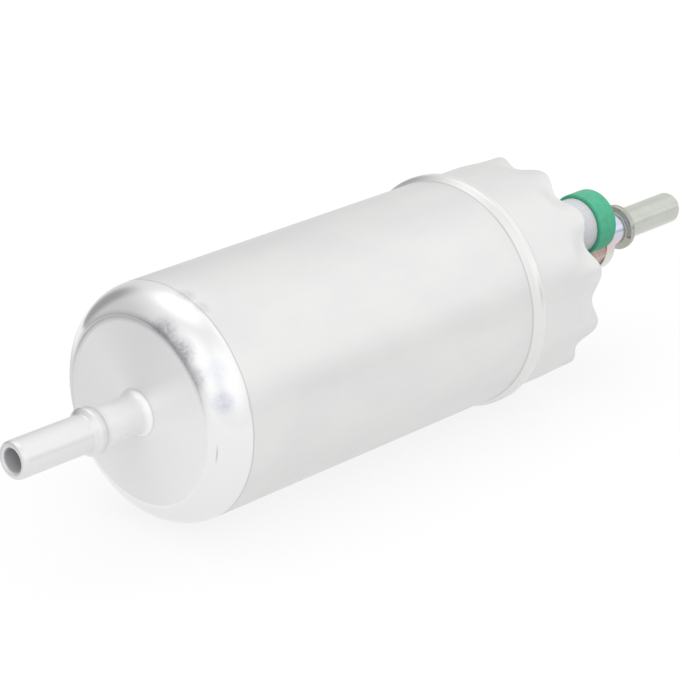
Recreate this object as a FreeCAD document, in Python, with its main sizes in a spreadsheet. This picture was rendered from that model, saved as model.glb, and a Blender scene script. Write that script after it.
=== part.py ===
import FreeCAD
import Part
import Sketcher
import math
import os
import re

# In-line electric fuel pump. X runs along the pump from inlet to outlet, Z is up.
# The origin is the middle of the smooth land that the clamp band grips. Millimetres.

doc = FreeCAD.newDocument("fuel_pump")
sheet = doc.addObject("Spreadsheet::Sheet", "Sizes")

driving_sizes = {
    # deep-drawn can
    "can_radius": 30.0,
    "can_wall": 1.5,
    "can_floor": 2.0,
    "land_length": 98.6,
    "shoulder_radius": 9.6,
    "crest_inset": 6.3,
    "crease_depth": 0.5,
    "face_dome": 1.1,
    "bead_height": 1.35,
    "bead_width": 5.4,
    "collar_step": 0.15,
    "collar_length": 23.7,
    "crimp_lobes": 12.0,
    "crimp_depth": 2.6,
    "crimp_press": 1.5,
    "crimp_tool": 6.0,
    "crimp_phase": 2.7,
    "lip_length": 7.6,
    "lip_inset": 1.7,
    # nipples
    "nipple_radius": 4.745,
    "nipple_bore": 2.95,
    "nipple_round": 0.9,
    "nipple_grip": 21.2,
    "stop_radius": 6.0,
    "stop_width": 4.0,
    "inlet_reach": 38.2,
    "inlet_fillet": 1.0,
    "inlet_spigot": 5.4,
    "inlet_flange": 7.5,
    "flange_thick": 1.6,
    # pump section
    "plate_seat": 1.6,
    "suction_thick": 6.0,
    "rotor_width": 10.0,
    "pressure_thick": 6.0,
    "stack_gap": 0.2,
    "rotor_outside": 16.0,
    "rotor_offset": 1.5,
    "lobe_circle": 14.5,
    "lobe_radius": 4.5,
    "inner_teeth": 6.0,
    "mesh_gap": 0.06,
    "running_gap": 0.04,
    "side_gap": 0.05,
    "port_inner": 8.8,
    "port_outer": 12.6,
    "screw_wall": 1.2,
    "screw_radius": 1.75,
    "screw_head": 3.0,
    "screw_length": 17.0,
    # relief valve
    "relief_wall": 1.2,
    "relief_bore": 2.6,
    "relief_seat": 1.4,
    "ball_radius": 2.2,
    "relief_plug_length": 3.5,
    # motor
    "shaft_radius": 4.0,
    "shaft_flat": 3.2,
    "bush_radius": 6.5,
    "flux_wall": 2.0,
    "magnet_setback": 5.0,
    "magnet_thick": 5.5,
    "magnet_angle": 128.0,
    "clip_thick": 0.6,
    "air_gap": 0.7,
    "core_setback": 6.0,
    "slots": 12.0,
    "slot_circle": 14.2,
    "slot_radius": 2.7,
    "slot_mouth": 1.6,
    "wire_gap": 0.2,
    "end_turns": 6.0,
    "commutator_radius": 11.0,
    "commutator_length": 12.0,
    "bar_gap": 0.6,
    "washer_thick": 0.8,
    "washer_radius": 7.0,
    # brush gear
    "holder_length": 15.0,
    "holder_plate": 3.5,
    "holder_wall": 2.3,
    "holder_bore": 12.5,
    "guide_wall": 2.0,
    "brush_width": 6.0,
    "brush_depth": 8.0,
    "brush_length": 9.0,
    "brush_gap": 0.1,
    # end cover
    "cover_entry": 1.2,
    "cover_skirt": 4.3,
    "cavity_depth": 15.0,
    "cover_floor": 3.0,
    "cover_face": 4.0,
    "tower_radius": 12.0,
    "tower_nose": 9.0,
    "tower_length": 22.3,
    "nose_length": 7.0,
    "chamber_radius": 6.0,
    "valve_seat": 3.6,
    "hub_radius": 8.5,
    "hub_length": 10.0,
    "hub_start": 2.0,
    "rib_thick": 2.5,
    "ring_section": 1.1,
    "ring_groove": 3.4,
    # connector
    "socket_y": -12.58,
    "socket_z": 12.24,
    "socket_outside": 7.4,
    "socket_bore": 5.6,
    "socket_reach": 20.5,
    "socket_depth": 14.0,
    "seal_outside": 8.35,
    "seal_seat": 6.9,
    "seal_width": 6.8,
    "terminal_spacing": 6.6,
    "terminal_width": 2.8,
    "terminal_thick": 0.8,
    "terminal_setback": 3.0,
    # outlet fitting and check valve
    "thread_length": 9.0,
    "seat_washer": 1.5,
    "hex_flats": 17.0,
    "hex_length": 10.8,
    "hex_turn": 7.0,
    "outlet_flange_radius": 9.1,
    "outlet_flange_length": 3.9,
    "outlet_radius": 4.35,
    "neck_length": 9.6,
    "outlet_stop_radius": 6.3,
    "outlet_stop_width": 3.9,
    "outlet_grip": 21.8,
    "poppet_head": 5.6,
    "poppet_guide": 2.0,
    "poppet_lift": 3.0,
    "spring_wire": 0.4,
    "valve_spring_radius": 3.6,
    "relief_spring_radius": 1.9,
    "brush_spring_radius": 2.4,
}

for row, (name, size) in enumerate(driving_sizes.items(), start=1):
    sheet.set(f"A{row}", name)
    sheet.set(f"B{row}", str(size))
    sheet.setAlias(f"B{row}", name)
doc.recompute()

MATHS = ("sqrt", "sin", "cos", "tan", "asin", "acos")


def bound(formula):
    """The formula as an expression on the sheet of sizes."""
    def cell(word):
        return word.group(0) if word.group(0) in MATHS else "Sizes." + word.group(0)
    return re.sub(r"[a-z][a-z_]*", cell, formula)


def value(formula):
    """The formula worked out now, as a plain number."""
    return float(sheet.evalExpression(bound(formula)))


def arc(radius, side):
    """Between two corners: a round stretch. Side 1 turns left, -1 turns right."""
    return {"radius": radius, "side": side}


def plane(body, role):
    """One of the body's own origin planes or axes."""
    return next(part for part in body.Origin.OriginFeatures if part.Role == role)


def new_body(label):
    body = doc.addObject("PartDesign::Body", label)
    body.Label = label
    return body


def new_sketch(body, role, lift="0", turn=None):
    """A sketch on one of the body's origin planes, lifted along the plane's normal."""
    sketch = body.newObject("Sketcher::SketchObject", body.Name + "_sketch")
    sketch.AttachmentSupport = (plane(body, role), [""])
    sketch.MapMode = "FlatFace"
    sketch.setExpression("AttachmentOffset.Base.z", bound(lift))
    if turn:
        offset = FreeCAD.Placement(FreeCAD.Vector(), FreeCAD.Rotation(FreeCAD.Vector(1, 0, 0), value(turn)))
        sketch.AttachmentOffset = offset
        sketch.setExpression("AttachmentOffset.Rotation.Angle", bound(turn))
    return sketch


def tie(sketch, kind, geometry, point, formula):
    """Bind one coordinate of a point, or a radius, to a formula of sizes."""
    name = f"{kind}_{geometry}_{point}"
    if kind == "Radius":
        index = sketch.addConstraint(Sketcher.Constraint(kind, geometry, value(formula)))
    elif abs(value(formula)) < 1e-9:
        axis = -1 if kind == "DistanceY" else -2
        sketch.addConstraint(Sketcher.Constraint("PointOnObject", geometry, point, axis))
        return
    else:
        index = sketch.addConstraint(Sketcher.Constraint(kind, geometry, point, value(formula)))
    sketch.renameConstraint(index, name)
    sketch.setExpression("Constraints." + name, bound(formula))


def draw_outline(sketch, outline):
    """Draw a closed outline of corners, with arcs where the list names one."""
    corners = [item for item in outline if isinstance(item, tuple)]
    arcs = {}
    for item in outline:
        if isinstance(item, tuple):
            latest = corners.index(item)
        else:
            arcs[latest] = item
    spots = [FreeCAD.Vector(value(a), value(b), 0) for a, b in corners]
    starts = []
    for index, spot in enumerate(spots):
        following = spots[(index + 1) % len(spots)]
        if index not in arcs:
            sketch.addGeometry(Part.LineSegment(spot, following), False)
            starts.append((1, 2))
            continue
        radius = value(arcs[index]["radius"])
        chord = following - spot
        left = FreeCAD.Vector(-chord.y, chord.x, 0).normalize() * arcs[index]["side"]
        centre = (spot + following) * 0.5 + left * math.sqrt(radius ** 2 - (chord.Length / 2) ** 2)
        first = math.atan2(spot.y - centre.y, spot.x - centre.x)
        last = math.atan2(following.y - centre.y, following.x - centre.x)
        circle = Part.Circle(centre, FreeCAD.Vector(0, 0, 1), radius)
        if arcs[index]["side"] > 0:
            sketch.addGeometry(Part.ArcOfCircle(circle, first, last), False)
            starts.append((1, 2))
        else:
            sketch.addGeometry(Part.ArcOfCircle(circle, last, first), False)
            starts.append((2, 1))
    for index in range(len(spots)):
        following = (index + 1) % len(spots)
        sketch.addConstraint(
            Sketcher.Constraint("Coincident", index, starts[index][1], following, starts[following][0]))
    for index, (a, b) in enumerate(corners):
        tie(sketch, "DistanceX", index, starts[index][0], a)
        tie(sketch, "DistanceY", index, starts[index][0], b)
        if index in arcs:
            tie(sketch, "Radius", index, 0, arcs[index]["radius"])
    return sketch


def draw_circle(sketch, a, b, radius):
    spot = FreeCAD.Vector(value(a), value(b), 0)
    index = sketch.addGeometry(Part.Circle(spot, FreeCAD.Vector(0, 0, 1), value(radius)), False)
    tie(sketch, "DistanceX", index, 3, a)
    tie(sketch, "DistanceY", index, 3, b)
    tie(sketch, "Radius", index, 0, radius)
    return sketch


def revolve(body, outline, angle="360", middle=False):
    """Turn an outline of (x, radius) corners about the pump's axis."""
    sketch = draw_outline(new_sketch(body, "XZ_Plane"), outline)
    turned = body.newObject("PartDesign::Revolution", body.Name + "_turned")
    turned.Profile = sketch
    turned.ReferenceAxis = (sketch, ["H_Axis"])
    turned.setExpression("Angle", bound(angle))
    turned.Midplane = middle
    return turned


def turned_piece(label, outline):
    body = new_body(label)
    revolve(body, outline)
    return body


def extrude(body, sketch, length, cut=False):
    """Pad or pocket a sketch towards +X (or along the plane's normal)."""
    kind = "PartDesign::Pocket" if cut else "PartDesign::Pad"
    feature = body.newObject(kind, body.Name + ("_cut" if cut else "_pad"))
    feature.Profile = sketch
    feature.setExpression("Length", bound(length))
    feature.Reversed = cut
    return feature


def bore(body, start, length, radius, y="0", z="0"):
    return extrude(body, draw_circle(new_sketch(body, "YZ_Plane", start), y, z, radius), length, cut=True)


def slot(body, start, length, outline):
    return extrude(body, draw_outline(new_sketch(body, "YZ_Plane", start), outline), length, cut=True)


def repeat(body, features, count, angle="360"):
    """Copy features round the pump's axis."""
    doc.recompute()
    ring = body.newObject("PartDesign::PolarPattern", body.Name + "_ring")
    ring.Originals = features
    ring.Axis = (plane(body, "X_Axis"), [""])
    ring.setExpression("Angle", bound(angle))
    ring.setExpression("Occurrences", bound(count))
    body.Tip = ring
    return ring


def rectangle(low_a, high_a, low_b, high_b):
    return [(low_a, low_b), (high_a, low_b), (high_a, high_b), (low_a, high_b)]


def spring(label, wire, coil_radius, start, length, turns):
    """A compression spring along X, as one helix of round wire."""
    body = new_body(label)
    sketch = draw_circle(new_sketch(body, "XZ_Plane"), f"{start} + {wire}", coil_radius, wire)
    doc.recompute()
    coil = body.newObject("PartDesign::AdditiveHelix", label + "_coil")
    coil.Profile = sketch
    coil.ReferenceAxis = (sketch, ["H_Axis"])
    coil.Mode = "height-turns-growth"
    coil.setExpression("Height", bound(f"{length} - 2 * {wire}"))
    coil.Turns = turns
    return body


# Places along the pump that several pieces share.
land_start = "(-land_length / 2)"
land_end = "(land_length / 2)"
collar_radius = "(can_radius - collar_step)"
lip_radius = "(can_radius - can_wall - lip_inset)"
can_bore = "(can_radius - can_wall)"
stack_radius = "(can_radius - can_wall - stack_gap)"
crest_radius = "(can_radius - crest_inset)"
crest_x = (f"({land_start} - sqrt(shoulder_radius * shoulder_radius"
           " - (shoulder_radius - crest_inset) * (shoulder_radius - crest_inset)))")
crease_x = f"({crest_x} + crease_depth)"
face_x = f"({crease_x} - face_dome)"
floor_rim_x = f"({crease_x} + can_floor)"
floor_x = f"({face_x} + can_floor)"
bead_end = f"({land_end} + bead_width)"
rim_end = f"({bead_end} + collar_length)"
lip_start = f"({rim_end} - lip_length)"
suction_x = f"({land_start} - plate_seat)"
rotor_x = f"({suction_x} + suction_thick)"
pressure_x = f"({rotor_x} + rotor_width)"
flux_x = f"({pressure_x} + pressure_thick)"
cover_x = f"({land_end} - cover_entry)"
holder_x = f"({cover_x} - holder_length)"
cavity_end = f"({cover_x} + cavity_depth)"
seat_x = f"({cavity_end} + cover_floor)"
cover_face_x = f"({lip_start} + cover_face)"
tower_end = f"({lip_start} + tower_length)"
socket_end = f"({cover_face_x} + socket_reach)"

# The can: one deep drawing, with its rim crimped over the end cover.
can = new_body("pump_can")
inner_corner = ("((can_radius - shoulder_radius) + sqrt((shoulder_radius - can_wall) * (shoulder_radius - can_wall)"
                f" - ({floor_rim_x} - {land_start}) * ({floor_rim_x} - {land_start})))")
revolve(can, [
    (face_x, "inlet_spigot"),
    (face_x, "nipple_radius + inlet_fillet"),
    (crease_x, f"{crest_radius} - crease_depth"),
    (crest_x, crest_radius),
    arc("shoulder_radius", -1),
    (land_start, "can_radius"),
    (land_end, "can_radius"),
    arc("bead_width", -1),
    (f"{land_end} + bead_width * 0.55", "can_radius + bead_height"),
    arc("bead_width * 0.6", -1),
    (bead_end, "can_radius + bead_height * 0.5"),
    (bead_end, collar_radius),
    (rim_end, collar_radius),
    (rim_end, lip_radius),
    (lip_start, lip_radius),
    (lip_start, can_bore),
    (f"{bead_end} - can_wall", can_bore),
    (f"{land_end} + bead_width * 0.55", "can_radius - can_wall + bead_height * 0.8"),
    (f"{land_end} + can_wall / 2", can_bore),
    (land_start, can_bore),
    arc("shoulder_radius - can_wall", 1),
    (floor_rim_x, inner_corner),
    (floor_x, "inlet_flange"),
    (floor_x, "inlet_spigot"),
])
lobe_reach = f"({collar_radius} * sin(180 / crimp_lobes))"
wave_radius = f"(({lobe_reach} * {lobe_reach} + crimp_depth * crimp_depth) / (4 * crimp_depth))"
scallop = draw_outline(new_sketch(can, "XY_Plane", turn="crimp_phase"), [
    (rim_end, f"-{lobe_reach}"),
    arc(wave_radius, 1),
    (f"{rim_end} - crimp_depth / 2", f"-{lobe_reach} / 2"),
    arc(wave_radius, -1),
    (f"{rim_end} - crimp_depth / 2", f"{lobe_reach} / 2"),
    arc(wave_radius, 1),
    (rim_end, lobe_reach),
    (f"{rim_end} + can_wall", lobe_reach),
    (f"{rim_end} + can_wall", f"-{lobe_reach}"),
])
scallop_cut = extrude(can, scallop, "can_radius + can_wall", cut=True)
repeat(can, [scallop_cut], "crimp_lobes")
dent_axis = f"({collar_radius} + crimp_tool)"
dent_sketch = draw_outline(new_sketch(can, "XZ_Plane", turn="crimp_phase"), [
    (f"{lip_start} - can_wall", dent_axis),
    (f"{lip_start} - can_wall", collar_radius),
    (f"{rim_end} + can_wall", f"{collar_radius} - crimp_press * (1 + can_wall / lip_length)"),
    (f"{rim_end} + can_wall", dent_axis),
])
dent = can.newObject("PartDesign::Groove", "pump_can_dent")
dent.Profile = dent_sketch
dent.ReferenceAxis = (dent_sketch, ["Edge4"])
dent.Angle = 360
doc.recompute()
repeat(can, [dent], "crimp_lobes")

# The inlet nipple, rolled over inside the can's floor.
tip_x = f"({face_x} - inlet_reach)"
stop_arc = "((stop_width * stop_width / 4 + (stop_radius - nipple_radius) * (stop_radius - nipple_radius)) / (2 * (stop_radius - nipple_radius)))"
inlet_fitting = turned_piece("inlet_fitting", [
    (tip_x, "nipple_bore"),
    (tip_x, "nipple_radius - nipple_round"),
    arc("nipple_round", -1),
    (f"{tip_x} + nipple_round", "nipple_radius"),
    (f"{tip_x} + nipple_grip", "nipple_radius"),
    arc(stop_arc, -1),
    (f"{tip_x} + nipple_grip + stop_width", "nipple_radius"),
    (f"{face_x} - inlet_fillet", "nipple_radius"),
    arc("inlet_fillet", 1),
    (face_x, "nipple_radius + inlet_fillet"),
    (face_x, "inlet_spigot"),
    (floor_x, "inlet_spigot"),
    (floor_x, "inlet_flange"),
    (f"{floor_x} + flange_thick", "inlet_flange"),
    (f"{floor_x} + flange_thick", "nipple_bore"),
])

# Fine mesh cap over the inlet, clipped on the rolled flange.
strainer_x = f"({floor_x} + flange_thick)"
turned_piece("inlet_strainer", [
    (strainer_x, "inlet_flange - can_wall"),
    (strainer_x, "inlet_flange"),
    (f"{strainer_x} + can_wall / 3", "inlet_flange"),
    (f"{strainer_x} + can_wall", "nipple_radius"),
    (f"{strainer_x} + can_wall", "0"),
    (f"{strainer_x} + can_wall * 2 / 3", "0"),
    (f"{strainer_x} + can_wall * 2 / 3", "nipple_radius - can_wall / 3"),
])

# Where the screws and the relief valve pass outside the rotor pocket.
screw_circle = "(rotor_outside + rotor_offset + screw_wall + screw_radius)"
relief_height = "(rotor_outside + rotor_offset + relief_wall + relief_bore)"

# Port plates either side of the rotors, with a kidney port in each.


def kidney(side):
    """Outline of a port that follows the rotor pockets over a third of a turn."""
    def spot(radius, degrees):
        return (f"{side} * {radius} * cos({degrees})", f"rotor_offset + {radius} * sin({degrees})")
    width = "((port_outer - port_inner) * 0.55)"
    return [
        spot("port_inner", -60), arc("port_inner", side), spot("port_inner", 60), arc(width, -side),
        spot("port_outer", 60), arc("port_outer", -side), spot("port_outer", -60), arc(width, -side),
    ]


def screw_holes(body, start, length, radius):
    hole = bore(body, start, length, radius, "0", f"-{screw_circle}")
    return repeat(body, [hole], "3")


suction_plate = turned_piece("suction_plate", [
    (suction_x, "0"),
    (suction_x, f"{stack_radius} - stack_gap * 5"),
    (f"{suction_x} + stack_gap * 5", stack_radius),
    (rotor_x, stack_radius),
    (rotor_x, "shaft_radius + stack_gap"),
    (f"{rotor_x} - suction_thick * 0.7", "shaft_radius + stack_gap"),
    (f"{rotor_x} - suction_thick * 0.7", "0"),
])
slot(suction_plate, suction_x, "suction_thick", kidney(-1))
bore(suction_plate, suction_x, "suction_thick", "relief_bore", "0", relief_height)
screw_holes(suction_plate, suction_x, "suction_thick", "screw_radius + stack_gap")
screw_holes(suction_plate, suction_x, "screw_radius * 1.5", "screw_head + stack_gap")

pump_ring = turned_piece("pump_ring", [
    (rotor_x, "0"),
    (rotor_x, stack_radius),
    (pressure_x, stack_radius),
    (pressure_x, "0"),
])
bore(pump_ring, rotor_x, "rotor_width", "rotor_outside + running_gap", "0", "rotor_offset")
bore(pump_ring, rotor_x, "rotor_width", "relief_bore", "0", relief_height)
screw_holes(pump_ring, rotor_x, "rotor_width", "screw_radius + stack_gap")

pressure_plate = turned_piece("pressure_plate", [
    (pressure_x, "bush_radius"),
    (pressure_x, stack_radius),
    (flux_x, stack_radius),
    (flux_x, "bush_radius"),
])
slot(pressure_plate, pressure_x, "pressure_thick", kidney(1))
bore(pressure_plate, pressure_x, "pressure_thick", "relief_seat", "0", relief_height)
screw_holes(pressure_plate, pressure_x, "pressure_thick", "screw_radius")

# Three cap screws hold the plates and the ring together.
screws = new_body("pump_screws")
screws.AllowCompound = True
screw_end = f"({suction_x} + screw_radius * 1.5 - stack_gap + screw_length)"
screw_top = f"({suction_x} + stack_gap / 2)"
screw_sketch = draw_outline(new_sketch(screws, "XZ_Plane"), [
    (f"{screw_top} + screw_radius * 0.75", f"-{screw_circle}"),
    (f"{screw_top} + screw_radius * 0.75", f"-{screw_circle} - screw_radius * 0.8"),
    (screw_top, f"-{screw_circle} - screw_radius * 0.8"),
    (screw_top, f"-{screw_circle} - screw_head"),
    (f"{suction_x} + screw_radius * 1.5", f"-{screw_circle} - screw_head"),
    (f"{suction_x} + screw_radius * 1.5", f"-{screw_circle} - screw_radius"),
    (screw_end, f"-{screw_circle} - screw_radius"),
    (screw_end, f"-{screw_circle}"),
])
screw = screws.newObject("PartDesign::Revolution", "pump_screws_turned")
screw.Profile = screw_sketch
screw.ReferenceAxis = (screw_sketch, ["Edge8"])
screw.Angle = 360
repeat(screws, [screw], "3")

# Relief valve: a ball pressed on the pressure plate's hole, opening towards the inlet.
ball = doc.addObject("Part::Sphere", "relief_ball")
ball.setExpression("Radius", bound("ball_radius"))
ball_x = f"({pressure_x} - sqrt(ball_radius * ball_radius - relief_seat * relief_seat) - side_gap)"
ball.setExpression("Placement.Base.x", bound(ball_x))
ball.setExpression("Placement.Base.z", bound(relief_height))
plug = new_body("relief_plug")
plug_start = f"({suction_x} + side_gap)"
draw = draw_circle(new_sketch(plug, "YZ_Plane", plug_start), "0", relief_height, "relief_bore")
extrude(plug, draw, "relief_plug_length")
bore(plug, plug_start, "relief_plug_length", "relief_seat / 2", "0", relief_height)
slot(plug, plug_start, "relief_plug_length / 3", rectangle(
    "-relief_bore - side_gap", "relief_bore + side_gap",
    f"{relief_height} - screw_radius / 4", f"{relief_height} + screw_radius / 4"))
relief_spring_start = f"({plug_start} + relief_plug_length)"
wire_reach = "(ball_radius + spring_wire)"
ball_contact = f"sqrt({wire_reach} * {wire_reach} - relief_spring_radius * relief_spring_radius)"
relief_spring_end = f"({ball_x} - {ball_contact} + spring_wire - side_gap)"
relief_spring = spring("relief_spring", "spring_wire", "relief_spring_radius", relief_spring_start,
                       f"{relief_spring_end} - {relief_spring_start}", 4)
relief_spring.setExpression("Placement.Base.z", bound(relief_height))

# The rotors: seven round lobes outside, and the six-toothed trochoid that they generate inside.
outer_teeth = "(inner_teeth + 1)"
outer_root = "(lobe_circle - lobe_radius + 2 * rotor_offset + mesh_gap)"


def disc(name, radius, start, length):
    cylinder = doc.addObject("Part::Cylinder", name)
    cylinder.Placement.Rotation = FreeCAD.Rotation(FreeCAD.Vector(0, 1, 0), 90)
    cylinder.setExpression("Radius", bound(radius))
    cylinder.setExpression("Height", bound(length))
    cylinder.setExpression("Placement.Base.x", bound(start))
    return cylinder


rotor_start = f"({rotor_x} + side_gap)"
rotor_length = "(rotor_width - 2 * side_gap)"
lobes = []
for lobe_number in range(int(value(outer_teeth))):
    lobe = disc(f"outer_lobe_{lobe_number}", "lobe_radius", rotor_start, rotor_length)
    lobe_angle = f"(90 + 360 * {lobe_number} / {outer_teeth})"
    lobe.setExpression("Placement.Base.y", bound(f"lobe_circle * cos({lobe_angle})"))
    lobe.setExpression("Placement.Base.z", bound(f"rotor_offset + lobe_circle * sin({lobe_angle})"))
    lobes.append(lobe)
outer_blank = disc("outer_blank", "rotor_outside", rotor_start, rotor_length)
outer_blank.setExpression("Placement.Base.z", bound("rotor_offset"))
outer_pocket = disc("outer_pocket", outer_root, rotor_start, rotor_length)
outer_pocket.setExpression("Placement.Base.z", bound("rotor_offset"))
lobe_set = doc.addObject("Part::MultiFuse", "outer_lobes")
lobe_set.Shapes = lobes
pockets = doc.addObject("Part::Cut", "outer_pockets")
pockets.Base = outer_pocket
pockets.Tool = lobe_set
outer_rotor = doc.addObject("Part::Cut", "outer_rotor")
outer_rotor.Base = outer_blank
outer_rotor.Tool = pockets

doc.recompute()


def tooth_point(turn):
    """A point of the inner rotor: the lobe centre's path, set in by the lobe's radius."""
    count = value("inner_teeth") + 1
    circle = value("lobe_circle")
    offset = value("rotor_offset")
    inset = value("lobe_radius + mesh_gap")
    y = circle * math.cos(turn) + offset * math.cos(count * turn)
    z = circle * math.sin(turn) + offset * math.sin(count * turn)
    along_y = -circle * math.sin(turn) - count * offset * math.sin(count * turn)
    along_z = circle * math.cos(turn) + count * offset * math.cos(count * turn)
    speed = math.hypot(along_y, along_z)
    return y - inset * along_z / speed, z + inset * along_y / speed


tooth_steps = 24
edges = []
for tooth in range(int(value("inner_teeth"))):
    points = []
    for step in range(tooth_steps + 1):
        turn = 2 * math.pi * (tooth + step / tooth_steps) / value("inner_teeth")
        across, up = tooth_point(turn)
        points.append(FreeCAD.Vector(value(rotor_start), -up, across))
    curve = Part.BSplineCurve()
    curve.interpolate(points)
    edges.append(curve.toShape())
blank = Part.Face(Part.Wire(edges)).extrude(FreeCAD.Vector(value(rotor_length), 0, 0))
hole_radius = value("shaft_radius + running_gap")
hole = Part.makeCylinder(hole_radius, value(rotor_length), FreeCAD.Vector(value(rotor_start), 0, 0),
                         FreeCAD.Vector(1, 0, 0))
flat_height = value("shaft_flat + running_gap")
above_flat = Part.makeBox(value(rotor_length), 2 * hole_radius, hole_radius,
                          FreeCAD.Vector(value(rotor_start), -hole_radius, flat_height))
inner_rotor = doc.addObject("Part::Feature", "inner_rotor")
inner_rotor.Shape = blank.cut(hole.cut(above_flat))

# Armature: shaft with a driving flat, slotted core, windings and commutator.
shaft_start = f"({rotor_x} - suction_thick / 2)"
magnet_x = f"({flux_x} + magnet_setback)"
magnet_end = f"({holder_x} - magnet_setback)"
core_x = f"({magnet_x} + core_setback)"
commutator_end = f"({cover_x} - holder_plate)"
commutator_x = f"({commutator_end} - commutator_length)"
core_end = f"({commutator_x} - washer_thick - end_turns)"
core_length = f"({core_end} - {core_x})"
hub_x = f"({cover_x} + hub_start)"
hub_end = f"({hub_x} + hub_length)"
core_radius = "(can_radius - can_wall - stack_gap - flux_wall - magnet_thick - air_gap)"
shaft = turned_piece("armature_shaft", [
    (shaft_start, "0"),
    (shaft_start, "shaft_radius - bar_gap"),
    (f"{shaft_start} + bar_gap", "shaft_radius"),
    (f"{hub_end} - bar_gap * 2", "shaft_radius"),
    (f"{hub_end} - bar_gap", "shaft_radius - bar_gap"),
    (f"{hub_end} - bar_gap", "0"),
])
slot(shaft, shaft_start, f"{pressure_x} - {shaft_start}", rectangle(
    "-shaft_radius", "shaft_radius", "shaft_flat", "shaft_radius + bar_gap"))

core = turned_piece("armature_core", [
    (core_x, "shaft_radius"),
    (core_x, core_radius),
    (core_end, core_radius),
    (core_end, "shaft_radius"),
])
slot_hole = bore(core, core_x, core_length, "slot_radius", "0", "slot_circle")
slot_mouth = slot(core, core_x, core_length, rectangle(
    "-slot_mouth / 2", "slot_mouth / 2", "slot_circle", f"{core_radius} + air_gap"))
repeat(core, [slot_hole, slot_mouth], "slots")


def end_turn_outline(near, far):
    """Rounded bundle of end turns, from the core's face outwards."""
    return [
        (near, "slot_circle - slot_radius * 2"),
        (near, "slot_circle + slot_radius"),
        (f"({near} + {far}) / 2", "slot_circle + slot_radius"),
        (far, "slot_circle"),
        (far, "slot_circle - slot_radius * 1.5"),
    ]


windings = new_body("armature_windings")
front_turns = revolve(windings, end_turn_outline(core_x, f"({core_x} - end_turns)"))
wire_sketch = draw_circle(new_sketch(windings, "YZ_Plane", f"{core_x} - wire_gap"),
                          "0", "slot_circle", "slot_radius - wire_gap")
wire = extrude(windings, wire_sketch, f"{core_length} + 2 * wire_gap")
repeat(windings, [wire], "slots")
revolve(windings, end_turn_outline(core_end, f"({core_end} + end_turns)"))

commutator = turned_piece("commutator", [
    (commutator_x, "shaft_radius"),
    (commutator_x, "commutator_radius + bar_gap * 2"),
    (f"{commutator_x} + bar_gap * 2", "commutator_radius + bar_gap * 2"),
    (f"{commutator_x} + bar_gap * 2", "commutator_radius"),
    (commutator_end, "commutator_radius"),
    (commutator_end, "shaft_radius"),
])
bar_slot = slot(commutator, commutator_x, "commutator_length", rectangle(
    "-bar_gap / 2", "bar_gap / 2", "commutator_radius - bar_gap * 2", "commutator_radius + bar_gap * 3"))
repeat(commutator, [bar_slot], "slots")

washers = new_body("thrust_washers")
washers.AllowCompound = True
for washer_start in (f"({flux_x} + side_gap * 2)", f"({hub_x} - washer_thick - side_gap * 2)"):
    revolve(washers, [
        (washer_start, "shaft_radius + side_gap"),
        (washer_start, "washer_radius"),
        (f"{washer_start} + washer_thick", "washer_radius"),
        (f"{washer_start} + washer_thick", "shaft_radius + side_gap"),
    ])


def bush(label, start, length):
    turned_piece(label, [
        (start, "shaft_radius + running_gap"),
        (start, "bush_radius"),
        (f"{start} + {length}", "bush_radius"),
        (f"{start} + {length}", "shaft_radius + running_gap"),
    ])


bush("front_bush", pressure_x, "pressure_thick")
bush("rear_bush", hub_x, "hub_length")

# The motor's field: steel flux tube, two arc magnets and the clips that spread them.
turned_piece("flux_tube", [
    (flux_x, f"{stack_radius} - flux_wall"),
    (flux_x, stack_radius),
    (holder_x, stack_radius),
    (holder_x, f"{stack_radius} - flux_wall"),
])
magnet_outside = f"({stack_radius} - flux_wall)"
for label, turn in (("upper_magnet", 0), ("lower_magnet", 180)):
    magnet = new_body(label)
    revolve(magnet, rectangle(magnet_x, magnet_end, f"{magnet_outside} - magnet_thick", magnet_outside),
            "magnet_angle", middle=True)
    magnet.Placement.Rotation = FreeCAD.Rotation(FreeCAD.Vector(1, 0, 0), turn)

clip_reach = "((180 - magnet_angle) / 2 - 1)"
clip_inside = f"({magnet_outside} - clip_thick)"
clip_tip = f"({magnet_outside} - magnet_thick * 0.7)"
clip_foot = f"({clip_reach} - 2)"


def polar_spot(radius, angle):
    return (f"{radius} * cos({angle})", f"{radius} * sin({angle})")


for label, turn in (("left_magnet_clip", 0), ("right_magnet_clip", 180)):
    clip = new_body(label)
    clip_sketch = draw_outline(new_sketch(clip, "YZ_Plane", magnet_x), [
        polar_spot(magnet_outside, f"-{clip_reach}"),
        arc(magnet_outside, 1),
        polar_spot(magnet_outside, clip_reach),
        polar_spot(clip_tip, clip_reach),
        polar_spot(clip_tip, clip_foot),
        polar_spot(clip_inside, clip_foot),
        arc(clip_inside, -1),
        polar_spot(clip_inside, f"-{clip_foot}"),
        polar_spot(clip_tip, f"-{clip_foot}"),
        polar_spot(clip_tip, f"-{clip_reach}"),
    ])
    extrude(clip, clip_sketch, f"{magnet_end} - {magnet_x}")
    clip.Placement.Rotation = FreeCAD.Rotation(FreeCAD.Vector(1, 0, 0), turn)

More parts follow.
